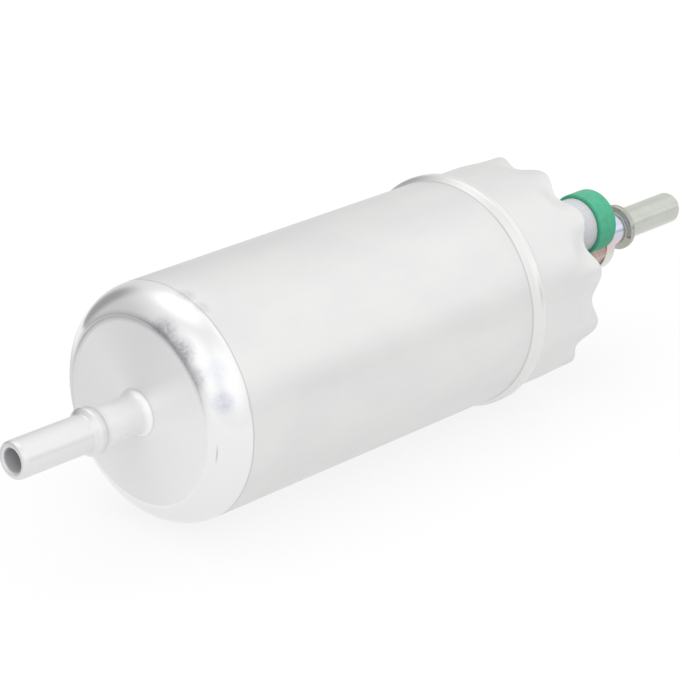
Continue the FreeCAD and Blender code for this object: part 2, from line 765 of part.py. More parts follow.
# Brush gear: a moulded cup with two radial guides, brushes and springs.
holder = turned_piece("brush_holder", [
    (holder_x, f"{stack_radius} - holder_wall"),
    (holder_x, stack_radius),
    (cover_x, stack_radius),
    (cover_x, "holder_bore"),
    (f"{cover_x} - holder_plate", "holder_bore"),
    (f"{cover_x} - holder_plate", f"{stack_radius} - holder_wall"),
])
brush_x = f"({cover_x} - holder_plate - guide_wall / 2 - brush_width / 2)"
guide_start = f"({brush_x} - brush_width / 2 - guide_wall)"
guide_side = "(brush_depth / 2 + guide_wall)"
guide_top = f"({stack_radius} - holder_wall / 2)"
guide = draw_outline(new_sketch(holder, "YZ_Plane", guide_start), rectangle(
    f"-{guide_side}", guide_side, "holder_bore + bar_gap", guide_top))
guide_pad = extrude(holder, guide, f"{cover_x} - {guide_start} - bar_gap")
repeat(holder, [guide_pad], "2")
channel_top = f"({stack_radius} - holder_wall)"
channel = draw_outline(new_sketch(holder, "YZ_Plane", f"{brush_x} - brush_width / 2 - brush_gap"), rectangle(
    "-brush_depth / 2 - brush_gap", "brush_depth / 2 + brush_gap", "commutator_radius", channel_top))
channel_cut = extrude(holder, channel, "brush_width + 2 * brush_gap", cut=True)
repeat(holder, [channel_cut], "2")

brush_foot = "(commutator_radius + side_gap)"
for label, turn in (("upper_brush", 0), ("lower_brush", 180)):
    brush = new_body(label)
    brush_sketch = draw_outline(new_sketch(brush, "YZ_Plane", f"{brush_x} - brush_width / 2"), [
        ("-brush_depth / 2", f"sqrt({brush_foot} * {brush_foot} - brush_depth * brush_depth / 4)"),
        arc(brush_foot, -1),
        ("brush_depth / 2", f"sqrt({brush_foot} * {brush_foot} - brush_depth * brush_depth / 4)"),
        ("brush_depth / 2", f"{brush_foot} + brush_length"),
        ("-brush_depth / 2", f"{brush_foot} + brush_length"),
    ])
    extrude(brush, brush_sketch, "brush_width")
    brush.Placement.Rotation = FreeCAD.Rotation(FreeCAD.Vector(1, 0, 0), turn)

brush_spring_start = f"({brush_foot} + brush_length)"
brush_spring_length = f"({channel_top} - {brush_spring_start})"
for label, tilt in (("upper_brush_spring", -90), ("lower_brush_spring", 90)):
    coil = spring(label, "spring_wire", "brush_spring_radius", brush_spring_start, brush_spring_length, 3)
    coil.Placement.Rotation = FreeCAD.Rotation(FreeCAD.Vector(0, 1, 0), tilt)
    coil.setExpression("Placement.Base.x", bound(brush_x))

# End cover: one moulding with the valve chamber, outlet tower and connector socket.
groove_x = f"({lip_start} - cover_skirt - ring_groove)"
groove_floor = f"({can_bore} - 2 * ring_section - ring_section / 10)"
cavity_radius = f"({stack_radius} - cover_skirt)"
cover = turned_piece("end_cover", [
    (cover_x, cavity_radius),
    (cover_x, stack_radius),
    (groove_x, stack_radius),
    (groove_x, groove_floor),
    (f"{groove_x} + ring_groove", groove_floor),
    (f"{groove_x} + ring_groove", stack_radius),
    (lip_start, stack_radius),
    (lip_start, f"{lip_radius} - stack_gap"),
    (f"{cover_face_x} - cover_face / 4", f"{lip_radius} - stack_gap"),
    (cover_face_x, f"{lip_radius} - stack_gap - cover_face / 4"),
    (cover_face_x, "tower_radius"),
    (f"{tower_end} - nose_length", "tower_radius"),
    (f"{tower_end} - nose_length", "tower_nose"),
    (tower_end, "tower_nose"),
    (tower_end, "chamber_radius"),
    (seat_x, "chamber_radius"),
    (seat_x, "valve_seat"),
    (cavity_end, "valve_seat"),
    (cavity_end, cavity_radius),
])
boss = draw_circle(new_sketch(cover, "YZ_Plane", f"{cover_face_x} - bar_gap"), "socket_y", "socket_z", "socket_outside")
extrude(cover, boss, "socket_reach + bar_gap")
seal_end = f"({socket_end} - bar_gap * 1.5)"
seal_x = f"({seal_end} - seal_width)"
seat_groove = new_sketch(cover, "YZ_Plane", seal_x)
draw_circle(seat_groove, "socket_y", "socket_z", "socket_outside + running_gap")
draw_circle(seat_groove, "socket_y", "socket_z", "seal_seat")
extrude(cover, seat_groove, "seal_width", cut=True)
socket_floor = f"({socket_end} - socket_depth)"
bore(cover, socket_floor, "socket_depth", "socket_bore", "socket_y", "socket_z")
for side in (-1, 1):
    middle_y = f"(socket_y + {side} * terminal_spacing / 2)"
    slot(cover, cavity_end, f"{socket_floor} - {cavity_end}", rectangle(
        f"{middle_y} - terminal_thick / 2", f"{middle_y} + terminal_thick / 2",
        "socket_z - terminal_width / 2", "socket_z + terminal_width / 2"))

# The spider pressed into the cover's cavity: it carries the rear bush and lets the fuel pass.
carrier = turned_piece("bearing_carrier", [
    (hub_x, f"{cavity_radius} - rib_thick"),
    (hub_x, cavity_radius),
    (f"{hub_x} + hub_length", cavity_radius),
    (f"{hub_x} + hub_length", f"{cavity_radius} - rib_thick"),
])
rib_sketch = draw_outline(new_sketch(carrier, "YZ_Plane", hub_x), rectangle(
    "-rib_thick / 2", "rib_thick / 2", "bush_radius + bar_gap", f"{cavity_radius} - rib_thick / 2"))
rib = extrude(carrier, rib_sketch, "hub_length - rib_thick")
repeat(carrier, [rib], "4")
hub = new_sketch(carrier, "YZ_Plane", hub_x)
draw_circle(hub, "0", "0", "hub_radius")
draw_circle(hub, "0", "0", "bush_radius")
extrude(carrier, hub, "hub_length")

seal = turned_piece("connector_seal", [
    (seal_x, "seal_seat + bar_gap"),
    (seal_x, "seal_outside"),
    (seal_end, "seal_outside"),
    (seal_end, "seal_seat"),
    (f"{seal_x} + bar_gap", "seal_seat"),
])
seal.setExpression("Placement.Base.y", bound("socket_y"))
seal.setExpression("Placement.Base.z", bound("socket_z"))

terminal_x = f"({hub_end} + bar_gap)"
for label, side in (("positive_terminal", -1), ("negative_terminal", 1)):
    terminal = doc.addObject("Part::Box", label)
    terminal.setExpression("Length", bound(f"{socket_end} - terminal_setback - {terminal_x}"))
    terminal.setExpression("Width", bound("terminal_thick"))
    terminal.setExpression("Height", bound("terminal_width"))
    terminal.setExpression("Placement.Base.x", bound(terminal_x))
    terminal.setExpression("Placement.Base.y", bound(f"socket_y + {side} * terminal_spacing / 2 - terminal_thick / 2"))
    terminal.setExpression("Placement.Base.z", bound("socket_z - terminal_width / 2"))

cover_ring = doc.addObject("Part::Torus", "cover_o_ring")
cover_ring.Placement.Rotation = FreeCAD.Rotation(FreeCAD.Vector(0, 1, 0), 90)
cover_ring.setExpression("Radius1", bound(f"{can_bore} - ring_section - ring_section / 20"))
cover_ring.setExpression("Radius2", bound("ring_section"))
cover_ring.setExpression("Placement.Base.x", bound(f"{groove_x} + ring_groove / 2"))

# Outlet: check valve in the tower, and the steel fitting screwed in over a washer.
washer_end = f"({tower_end} + seat_washer)"
hex_end = f"({washer_end} + hex_length)"
flange_end = f"({hex_end} + outlet_flange_length)"
neck_end = f"({flange_end} + neck_length)"
outlet_stop_end = f"({neck_end} + outlet_stop_width)"
outlet_tip = f"({outlet_stop_end} + outlet_grip)"
thread_start = f"({tower_end} - thread_length)"
hex_corner = "(hex_flats / 2 / cos(30))"
turned_piece("outlet_washer", [
    (tower_end, "chamber_radius"),
    (tower_end, "tower_nose - side_gap"),
    (washer_end, "tower_nose - side_gap"),
    (washer_end, "chamber_radius"),
])
outlet = turned_piece("outlet_fitting", [
    (thread_start, "valve_spring_radius + bar_gap * 2"),
    (thread_start, "chamber_radius - bar_gap"),
    (f"{thread_start} + bar_gap", "chamber_radius"),
    (washer_end, "chamber_radius"),
    (washer_end, "hex_flats / 2"),
    (hex_end, "hex_flats / 2"),
    (hex_end, "outlet_flange_radius"),
    (f"{flange_end} - bar_gap", "outlet_flange_radius"),
    (flange_end, "outlet_flange_radius - bar_gap"),
    (flange_end, "outlet_radius"),
    (neck_end, "outlet_radius"),
    (f"{neck_end} + outlet_stop_width * 0.4", "outlet_stop_radius"),
    (f"{neck_end} + outlet_stop_width * 0.7", "outlet_stop_radius"),
    (outlet_stop_end, "outlet_radius"),
    (f"{outlet_tip} - nipple_round", "outlet_radius"),
    arc("nipple_round", -1),
    (outlet_tip, "outlet_radius - nipple_round"),
    (outlet_tip, "nipple_bore"),
    (f"{thread_start} + washer_thick * 2", "nipple_bore"),
    (f"{thread_start} + washer_thick * 2", "valve_spring_radius + bar_gap * 2"),
])
hex_sketch = draw_outline(new_sketch(outlet, "YZ_Plane", washer_end), [
    polar_spot(hex_corner, f"({60 * corner} + hex_turn)") for corner in range(6)])
extrude(outlet, hex_sketch, "hex_length")
bore(outlet, washer_end, "hex_length", "nipple_bore")
for start, slope in ((washer_end, 1), (hex_end, -1)):
    chamfer_sketch = draw_outline(new_sketch(outlet, "XZ_Plane"), [
        (f"{start} - {slope} * bar_gap", "hex_flats / 2"),
        (f"{start} + {slope} * ({hex_corner} - hex_flats / 2) * 0.6", f"{hex_corner} + bar_gap"),
        (f"{start} - {slope} * bar_gap", f"{hex_corner} + bar_gap"),
    ])
    chamfer = outlet.newObject("PartDesign::Groove", "outlet_fitting_chamfer")
    chamfer.Profile = chamfer_sketch
    chamfer.ReferenceAxis = (chamfer_sketch, ["H_Axis"])
    chamfer.Angle = 360

poppet_x = f"({seat_x} - valve_seat / 2 + side_gap)"
turned_piece("check_valve_poppet", [
    (poppet_x, "0"),
    (poppet_x, "valve_seat / 2"),
    (f"{poppet_x} + poppet_head - valve_seat / 2", "poppet_head"),
    (f"{poppet_x} + poppet_head", "poppet_head"),
    (f"{poppet_x} + poppet_head", "poppet_guide"),
    (f"{thread_start} - poppet_lift - side_gap", "poppet_guide"),
    (f"{thread_start} - poppet_lift - side_gap", "0"),
])
valve_spring_start = f"({poppet_x} + poppet_head)"
spring("check_valve_spring", "spring_wire", "valve_spring_radius", valve_spring_start,
       f"{thread_start} + washer_thick * 2 - {valve_spring_start}", 5)

doc.recompute()

piece_names = """
pump_can inlet_fitting inlet_strainer suction_plate pump_ring pressure_plate pump_screws
outer_rotor inner_rotor front_bush rear_bush armature_shaft armature_core armature_windings
commutator thrust_washers flux_tube upper_magnet lower_magnet left_magnet_clip right_magnet_clip
brush_holder upper_brush lower_brush upper_brush_spring lower_brush_spring
end_cover bearing_carrier cover_o_ring connector_seal positive_terminal negative_terminal
outlet_fitting outlet_washer check_valve_poppet check_valve_spring
relief_ball relief_spring relief_plug
""".split()

for thing in doc.Objects:
    if "Invalid" in thing.State or "Error" in thing.State:
        raise RuntimeError(f"{thing.Label} did not compute")

os.makedirs("parts", exist_ok=True)
for name in piece_names:
    piece = doc.getObject(name)
    if piece.Shape.isNull() or not piece.Shape.isValid():
        raise RuntimeError(f"{name} has no sound shape")
    piece.Shape.exportStep(f"parts/{name}.step")
    print(name, len(piece.Shape.Solids), round(piece.Shape.Volume, 1))
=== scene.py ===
import math

import bmesh
import bpy
from mathutils import Matrix, Vector


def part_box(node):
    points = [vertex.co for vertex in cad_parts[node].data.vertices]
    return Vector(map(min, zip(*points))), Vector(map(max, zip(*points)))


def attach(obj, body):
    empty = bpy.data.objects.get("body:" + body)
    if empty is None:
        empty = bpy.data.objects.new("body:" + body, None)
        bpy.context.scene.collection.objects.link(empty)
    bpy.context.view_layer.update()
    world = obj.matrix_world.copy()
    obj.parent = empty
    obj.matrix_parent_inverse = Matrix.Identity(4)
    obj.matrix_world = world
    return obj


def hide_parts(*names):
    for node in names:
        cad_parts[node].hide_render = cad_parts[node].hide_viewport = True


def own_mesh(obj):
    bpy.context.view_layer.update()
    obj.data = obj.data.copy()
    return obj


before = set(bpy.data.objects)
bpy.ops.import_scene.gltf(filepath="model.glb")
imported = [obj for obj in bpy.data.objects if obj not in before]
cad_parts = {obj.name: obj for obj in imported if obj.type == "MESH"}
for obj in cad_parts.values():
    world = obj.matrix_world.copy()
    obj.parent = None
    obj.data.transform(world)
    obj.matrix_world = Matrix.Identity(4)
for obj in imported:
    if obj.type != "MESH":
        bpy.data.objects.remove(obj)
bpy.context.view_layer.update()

# The can: one deep drawing in aluminium, with a smooth land that the clamp band grips and a rolled bead
# that stops the band. Its rim is pressed in over the end cover at twelve places.
MM = 0.001
CAN_RADIUS = 30.0
CAN_WALL = 1.5
LAND_END = 49.3
SHOULDER_RADIUS = 9.6
CREST_RADIUS = 23.7
CREST_X = -58.315
FACE_X = -58.915
FACE_HOLE = 5.4
FACE_INSIDE_X = -56.9
BEAD_END = 54.7
BEAD_TOP = 31.34
COLLAR_RADIUS = 29.85
RIM_X = 78.4
LIP_RADIUS = 26.8
LIP_START = 70.8
CRIMPS = 12.0
CRIMP_PHASE = math.radians(92.7)
CRIMP_REACH = 9.5
CRIMP_DEPTH = 2.5
CRIMP_PRESS = 1.5
CAN_SEGMENTS = 384


def rounded(corners):
    """Corners (x, radius, fillet) as points, each corner rounded by its fillet. The ends stay sharp."""
    points = []
    for index, (x, r, fillet) in enumerate(corners):
        here = Vector((x, r))
        if not fillet or index in (0, len(corners) - 1):
            points.append((x, r))
            continue
        before = Vector(corners[index - 1][:2]) - here
        after = Vector(corners[index + 1][:2]) - here
        half = before.angle(after) / 2
        reach = min(fillet / math.tan(half), before.length * 0.48, after.length * 0.48)
        radius = reach * math.tan(half)
        centre = here + (before.normalized() + after.normalized()).normalized() * radius / math.sin(half)
        start = here + before.normalized() * reach - centre
        end = here + after.normalized() * reach - centre
        turn = math.atan2(start.cross(end), start.dot(end))
        steps = max(3, math.ceil(abs(turn) / 0.15))
        for step in range(steps + 1):
            spot = centre + Matrix.Rotation(turn * step / steps, 2) @ start
            points.append((spot.x, spot.y))
    return points


def arc_points(centre_x, centre_r, radius, first, last, steps):
    """Points of an arc, its angles in degrees from +X towards the outside."""
    angles = [math.radians(first + (last - first) * step / steps) for step in range(steps + 1)]
    return [(centre_x + radius * math.cos(angle), centre_r + radius * math.sin(angle)) for angle in angles]


def stations(start, end, radius, count):
    """Points along a straight stretch of wall, close enough for it to be bent afterwards."""
    return [(start + (end - start) * step / count, radius) for step in range(1, count)]


def lathe(mesh, points, segments, y=0.0, z=0.0, shape=None):
    """Turn a closed outline of (x, radius) points, in millimetres, about an axis along X.

    A shape function may change the radius by its angle and place."""
    rings = []
    for x, r in points:
        ring = []
        for step in range(segments):
            angle = 2 * math.pi * step / segments
            reach = shape(x, r, angle) if shape else r
            spot = Vector((x, y + reach * math.cos(angle), z + reach * math.sin(angle)))
            ring.append(mesh.verts.new(spot * MM))
        rings.append(ring)
    for index, ring in enumerate(rings):
        following = rings[(index + 1) % len(rings)]
        for step in range(segments):
            after = (step + 1) % segments
            mesh.faces.new((ring[step], ring[after], following[after], following[step]))


def finish_mesh(name, mesh, sharp=35):
    """Close the mesh, turn its faces outwards, smooth it and put it in the scene."""
    bmesh.ops.remove_doubles(mesh, verts=mesh.verts, dist=1e-7)
    bmesh.ops.dissolve_degenerate(mesh, edges=mesh.edges, dist=1e-7)
    bmesh.ops.recalc_face_normals(mesh, faces=mesh.faces)
    data = bpy.data.meshes.new(name)
    mesh.to_mesh(data)
    mesh.free()
    data.polygons.foreach_set("use_smooth", [True] * len(data.polygons))
    data.set_sharp_from_angle(angle=math.radians(sharp))
    piece = bpy.data.objects.new(name, data)
    bpy.context.scene.collection.objects.link(piece)
    return piece


shoulder_centre = CAN_RADIUS - SHOULDER_RADIUS
crest_angle = 180 - math.degrees(math.asin((CREST_RADIUS - shoulder_centre) / SHOULDER_RADIUS))
can_outline = rounded([
    (FACE_X, FACE_HOLE, 0), (FACE_X, FACE_HOLE + 1.0, 0.6), (CREST_X + 0.14, CREST_RADIUS - 0.6, 0.8),
    (CREST_X + 0.03, CREST_RADIUS - 0.05, 0.2), (CREST_X + 0.06, CREST_RADIUS + 0.15, 0),
])
can_outline += arc_points(-LAND_END, shoulder_centre, SHOULDER_RADIUS, crest_angle - 1.5, 93, 48)
can_outline += [(-LAND_END - 0.32, CAN_RADIUS - 0.1), (-LAND_END, CAN_RADIUS)]
can_outline += stations(-LAND_END, LAND_END - 1, CAN_RADIUS, 6)
can_outline += rounded([
    (LAND_END - 1, CAN_RADIUS, 0), (LAND_END + 0.6, CAN_RADIUS, 1.5), (LAND_END + 2.2, BEAD_TOP, 1.2),
    (BEAD_END - 1.0, BEAD_TOP - 0.04, 1.1), (BEAD_END - 0.1, COLLAR_RADIUS, 0.5),
    (BEAD_END + 1.5, COLLAR_RADIUS, 0),
])
can_outline += stations(BEAD_END + 1.5, RIM_X - 0.6, COLLAR_RADIUS, 40)
can_outline += rounded([
    (RIM_X - 0.6, COLLAR_RADIUS, 0), (RIM_X, COLLAR_RADIUS, 0.55), (RIM_X, LIP_RADIUS, 0.7),
    (LIP_START, LIP_RADIUS, 0.3), (LIP_START, CAN_RADIUS - CAN_WALL, 0),
])
can_outline += [(BEAD_END, CAN_RADIUS - CAN_WALL), (-LAND_END, CAN_RADIUS - CAN_WALL),
                (FACE_INSIDE_X + 0.7, CREST_RADIUS + 0.7), (FACE_INSIDE_X, FACE_HOLE + 2.1),
                (FACE_INSIDE_X, FACE_HOLE)]
can_mesh = bmesh.new()
lathe(can_mesh, can_outline, CAN_SEGMENTS)
can = finish_mesh("can", can_mesh)


def linear(code):
    """An sRGB hex colour as the linear colour that a shader takes."""
    parts = [int(code[i:i + 2], 16) / 255 for i in (0, 2, 4)]
    return [c / 12.92 if c <= 0.04045 else ((c + 0.055) / 1.055) ** 2.4 for c in parts] + [1.0]


def add_node(tree, kind, *given, **settings):
    """Add a node and give back its first output in use.

    What is given feeds its inputs in use, in order: a socket, a value or a hex colour. A setting is an
    attribute of the node, or else one of its inputs by name."""
    made = tree.nodes.new(kind if "Node" in kind else "ShaderNode" + kind)
    for key in [key for key in settings if hasattr(made, key)]:
        setattr(made, key, settings.pop(key))
    in_use = [socket for socket in made.inputs if socket.enabled]
    named = [(made.inputs[key.replace("_", " ")], value) for key, value in settings.items()]
    for socket, value in list(zip(in_use, given)) + named:
        if isinstance(value, bpy.types.NodeSocket):
            tree.links.new(value, socket)
        else:
            socket.default_value = linear(value) if isinstance(value, str) else value
    return next((socket for socket in made.outputs if socket.enabled), None)


# The rim's crimps: a wave round the rim that pulls it back and inwards, and fades out along the collar.
crimps = bpy.data.node_groups.new("crimp_rim", "GeometryNodeTree")
crimps.interface.new_socket("Geometry", in_out="INPUT", socket_type="NodeSocketGeometry")
for name in ("Crimps", "Phase", "Rim", "Reach", "Depth", "Press"):
    crimps.interface.new_socket(name, in_out="INPUT", socket_type="NodeSocketFloat")
crimps.interface.new_socket("Material", in_out="INPUT", socket_type="NodeSocketMaterial")
crimps.interface.new_socket("Geometry", in_out="OUTPUT", socket_type="NodeSocketGeometry")
given = add_node(crimps, "NodeGroupInput").node.outputs
x, y, z = add_node(crimps, "SeparateXYZ", add_node(crimps, "GeometryNodeInputPosition")).node.outputs
angle = add_node(crimps, "Math", add_node(crimps, "Math", z, y, operation="ARCTAN2"), given["Phase"],
                 operation="SUBTRACT")
wave = add_node(crimps, "Math", add_node(crimps, "Math", angle, given["Crimps"], operation="MULTIPLY"),
                operation="COSINE")
pressed = add_node(crimps, "Math", wave, 0.5, 0.5, operation="MULTIPLY_ADD")
start = add_node(crimps, "Math", given["Rim"], given["Reach"], operation="SUBTRACT")
fade = add_node(crimps, "MapRange", x, start, given["Rim"], interpolation_type="SMOOTHSTEP")
amount = add_node(crimps, "Math", pressed, fade, operation="MULTIPLY")
back = add_node(crimps, "Math", amount, given["Depth"], operation="MULTIPLY")
radius = add_node(crimps, "VectorMath", add_node(crimps, "CombineXYZ", 0.0, y, z), operation="LENGTH")
press = add_node(crimps, "Math", amount, given["Press"], operation="MULTIPLY")
shrink = add_node(crimps, "Math", press, radius, operation="DIVIDE")
shift = add_node(crimps, "CombineXYZ", back, add_node(crimps, "Math", y, shrink, operation="MULTIPLY"),
                 add_node(crimps, "Math", z, shrink, operation="MULTIPLY"))
inwards = add_node(crimps, "VectorMath", shift, (-1.0, -1.0, -1.0), operation="MULTIPLY")
moved = add_node(crimps, "GeometryNodeSetPosition", given["Geometry"], Offset=inwards)
real = add_node(crimps, "GeometryNodeRealizeInstances", moved)
coated = add_node(crimps, "GeometryNodeSetMaterial", real, Material=given["Material"])
add_node(crimps, "NodeGroupOutput", coated)


def bake(piece, tree, **inputs):
    """Run a geometry tree on a piece with these inputs, and keep the plain mesh that it gives."""
    modifier = piece.modifiers.new(tree.name, "NODES")
    modifier.node_group = tree
    for item in tree.interface.items_tree:
        if item.in_out == "INPUT" and item.name in inputs:
            modifier[item.identifier] = inputs[item.name]
    graph = bpy.context.evaluated_depsgraph_get()
    baked = bpy.data.meshes.new_from_object(piece.evaluated_get(graph))
    piece.modifiers.remove(modifier)
    piece.data = baked


def new_material(name, **surface):
    """A material whose shader has these settings, with its tree and the object's coordinates."""
    material = bpy.data.materials.new(name)
    material.use_nodes = True
    tree = material.node_tree
    shader = tree.nodes["Principled BSDF"].inputs
    for key, value in surface.items():
        shader[key.replace("_", " ")].default_value = value
    place = add_node(tree, "TexCoord").node.outputs["Object"]
    return material, tree, shader, place


def grain_size(*edges):
    """The scale of a pattern whose grain measures this much along x, y and z, in millimetres."""
    return [1 / (edge * MM) for edge in edges]


def from_axis(tree, y, z):
    """How far a point lies from the pump's axis."""
    return add_node(tree, "VectorMath", add_node(tree, "CombineXYZ", 0.0, y, z), operation="LENGTH")


def dress(piece, material, body, slot, *nodes):
    """Give a finished piece its material and its body, and hide the CAD nodes that it stands for. Its slot is
    not used.
    """
    piece.data.materials.clear()
    piece.data.materials.append(material)
    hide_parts(*nodes)
    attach(piece, body)


# Deep-drawn aluminium. Land and collar: satin from the die, with soft clouds and faint drawing lines.
# Shoulder: burnished to a mirror by the die's radius, and the bead half as much. A fine dark line shows where
# the land starts, and the fine dark lines on both sides of the bead are painted shade in its creases.
aluminium, tree, shader, place = new_material("drawn_aluminium", Metallic=1.0)
x, y, z = add_node(tree, "SeparateXYZ", place).node.outputs
burnished = add_node(tree, "MapRange", x, (0.1 - LAND_END) * MM, (-0.9 - LAND_END) * MM,
                     interpolation_type="SMOOTHSTEP")
bead_start = add_node(tree, "MapRange", x, (LAND_END + 0.4) * MM, (LAND_END + 1.2) * MM,
                      interpolation_type="SMOOTHSTEP")
bead_stop = add_node(tree, "MapRange", x, (BEAD_END + 0.5) * MM, (BEAD_END - 0.2) * MM,
                     interpolation_type="SMOOTHSTEP")
on_bead = add_node(tree, "Math", bead_start, bead_stop, operation="MULTIPLY")
polished = add_node(tree, "Math", burnished, add_node(tree, "Math", on_bead, 0.5, operation="MULTIPLY"),
                    operation="MAXIMUM")
lines_place = add_node(tree, "Mapping", place, Scale=grain_size(45.0, 1.6, 1.6))
lines = add_node(tree, "TexNoise", lines_place, Scale=1.0, Detail=2.0)
clouds_place = add_node(tree, "Mapping", place, Scale=grain_size(16.0, 11.0, 11.0))
clouds = add_node(tree, "TexNoise", clouds_place, Scale=1.0, Detail=2.0)
tone = add_node(tree, "Math", clouds, 0.8, add_node(tree, "Math", lines, 0.2, operation="MULTIPLY"),
                operation="MULTIPLY_ADD")
cloudy = add_node(tree, "MapRange", tone, 0.3, 0.7, interpolation_type="SMOOTHSTEP")
colour = add_node(tree, "Mix", cloudy, "DFDFDF", "E3E3E2", data_type="RGBA")
colour = add_node(tree, "Mix", polished, colour, "ECECED", data_type="RGBA")
colour = add_node(tree, "Mix", on_bead, colour, "E4E4E3", data_type="RGBA")
# A fine dark line where the land starts, and painted shade in the creases on both sides of the bead.
for ring, width in ((-0.25 - LAND_END, 0.3), (LAND_END + 0.5, 0.4), (BEAD_END + 0.15, 0.4)):
    past_line = add_node(tree, "Math", x, ring * MM, operation="SUBTRACT")
    from_line = add_node(tree, "Math", past_line, operation="ABSOLUTE")
    on_line = add_node(tree, "MapRange", from_line, width * MM, 0.0, 0.0, 0.4,
                       interpolation_type="SMOOTHSTEP")
    colour = add_node(tree, "Mix", on_line, colour, "8E8F92", data_type="RGBA")

# A soft shade along the upper half of the crease between shoulder and face, drawn to match the photograph.
out = from_axis(tree, y, z)
in_crease = add_node(tree, "MapRange", out, (CREST_RADIUS + 1.7) * MM, (CREST_RADIUS - 0.2) * MM,
                     interpolation_type="SMOOTHSTEP")
upper = add_node(tree, "MapRange", z, 2 * MM, 16 * MM, 0.0, 0.45, interpolation_type="SMOOTHSTEP")
on_shoulder = add_node(tree, "Math", in_crease, burnished, operation="MULTIPLY")
crease = add_node(tree, "Math", on_shoulder, upper, operation="MULTIPLY")
colour = add_node(tree, "Mix", crease, colour, "7E7F85", data_type="RGBA")

# Where the shoulder has been handled: grey scuffs in the crease and at the start of the land, two bluish
# patches on the side, and one short scratch. The scuffs in the crease also darken it as painted shade. Each
# is a soft spot, placed one by one after the photograph and filled with fine scratchy noise. Another pump has
# its marks elsewhere.
SCRATCH_MIDDLE = (-57.26, -25.53, -3.3)
SCRATCH_REACH = (0.2, 2.0, 3.4)
scuff_place = add_node(tree, "Mapping", place, Scale=grain_size(0.6, 0.9, 0.9))
scuffs = add_node(tree, "TexNoise", scuff_place, Scale=1.0, Detail=5.0)
scratchy = add_node(tree, "MapRange", scuffs, 0.35, 0.65, interpolation_type="SMOOTHSTEP")
worn_grain = add_node(tree, "Math", scratchy, 0.45, 0.55, operation="MULTIPLY_ADD")
# The first three spots lie in the crease: grey scuffs that also paint shade into it.
for middle, reach, strength, shade in (
        ((-58.3, -9.0, 22.6), 5.0, 0.5, "7C7D86"), ((-58.3, -14.8, 19.0), 5.0, 0.55, "7C7D86"),
        ((-58.2, -19.5, 14.2), 4.0, 0.4, "8A8C98"), ((-49.2, -7.5, 29.0), 3.2, 0.26, "8F8F8D"),
        ((-48.8, -12.5, 27.3), 2.6, 0.2, "8F8F8D"), ((-55.4, -25.9, 9.2), 3.6, 0.36, "9FABC9"),
        ((-54.6, -23.4, 16.5), 3.6, 0.16, "9FABC9")):
    away = add_node(tree, "VectorMath", place, [edge * MM for edge in middle], operation="DISTANCE")
    near = add_node(tree, "MapRange", away, reach * MM, reach * 0.3 * MM, 0.0, strength,
                    interpolation_type="SMOOTHSTEP")
    wear_and_shade = add_node(tree, "Math", near, worn_grain, operation="MULTIPLY")
    colour = add_node(tree, "Mix", wear_and_shade, colour, shade, data_type="RGBA")
scratch_place = add_node(tree, "VectorMath", place, [edge * MM for edge in SCRATCH_MIDDLE],
                         operation="SUBTRACT")
scratch_place = add_node(tree, "VectorMath", scratch_place, grain_size(*SCRATCH_REACH), operation="MULTIPLY")
scratch_away = add_node(tree, "VectorMath", scratch_place, operation="LENGTH")
scratch = add_node(tree, "MapRange", scratch_away, 1.0, 0.2, 0.0, 0.32, interpolation_type="SMOOTHSTEP")
colour = add_node(tree, "Mix", scratch, colour, "6E6F70", data_type="RGBA")
tree.links.new(colour, shader["Base Color"])

satin = add_node(tree, "Math", clouds, 0.08, 0.38, operation="MULTIPLY_ADD")
mirror = add_node(tree, "Math", scuffs, 0.1, 0.1, operation="MULTIPLY_ADD")
gloss = add_node(tree, "Mix", polished, satin, mirror)
tree.links.new(gloss, shader["Roughness"])
tree.links.new(add_node(tree, "Bump", Height=lines, Strength=0.15, Distance=0.01 * MM), shader["Normal"])

# The end face is spun: fine rings round the nipple spread each light into a radial streak. At the top,
# towards the crease, it carries a painted shade, again to match the photograph.
SPUN_RING = 0.7
spun_face, tree, shader, place = new_material("spun_aluminium", Metallic=1.0, Anisotropic=0.85,
                                               Anisotropic_Rotation=0.25)
y, z = add_node(tree, "SeparateXYZ", place).node.outputs[1:]
out = from_axis(tree, y, z)
spun_place = add_node(tree, "VectorMath", add_node(tree, "CombineXYZ", out), Scale=1 / (SPUN_RING * MM),
                      operation="SCALE")
spun = add_node(tree, "TexNoise", spun_place, Scale=1.0, Detail=2.0)
spun_colour = add_node(tree, "Mix", spun, "F2F2F2", "F8F8F8", data_type="RGBA")
by_crease = add_node(tree, "MapRange", out, (CREST_RADIUS - 1.8) * MM, (CREST_RADIUS - 0.2) * MM, 0.0, 0.42,
                     interpolation_type="SMOOTHSTEP")
at_top = add_node(tree, "MapRange", z, 4 * MM, 18 * MM, interpolation_type="SMOOTHSTEP")
painted_top_shade = add_node(tree, "Math", by_crease, at_top, operation="MULTIPLY")
tree.links.new(add_node(tree, "Mix", painted_top_shade, spun_colour, "8E8F94", data_type="RGBA"), shader["Base Color"])
tree.links.new(add_node(tree, "MapRange", spun, 0.3, 0.7, 0.42, 0.48), shader["Roughness"])
tree.links.new(add_node(tree, "Tangent", direction_type="RADIAL", axis="X"), shader["Tangent"])
tree.links.new(add_node(tree, "Bump", Height=spun, Strength=0.15, Distance=0.01 * MM), shader["Normal"])

bake(can, crimps, Crimps=CRIMPS, Phase=CRIMP_PHASE, Rim=RIM_X * MM, Reach=CRIMP_REACH * MM,
     Depth=CRIMP_DEPTH * MM, Press=CRIMP_PRESS * MM, Material=aluminium)
dress(can, aluminium, "housing", "can", "pump_can")
can.data.materials.append(spun_face)
for polygon in can.data.polygons:
    off_axis = math.hypot(polygon.center.y, polygon.center.z)
    if off_axis < (CREST_RADIUS - 0.4) * MM and polygon.center.x < -LAND_END * MM:
        polygon.material_index = 1

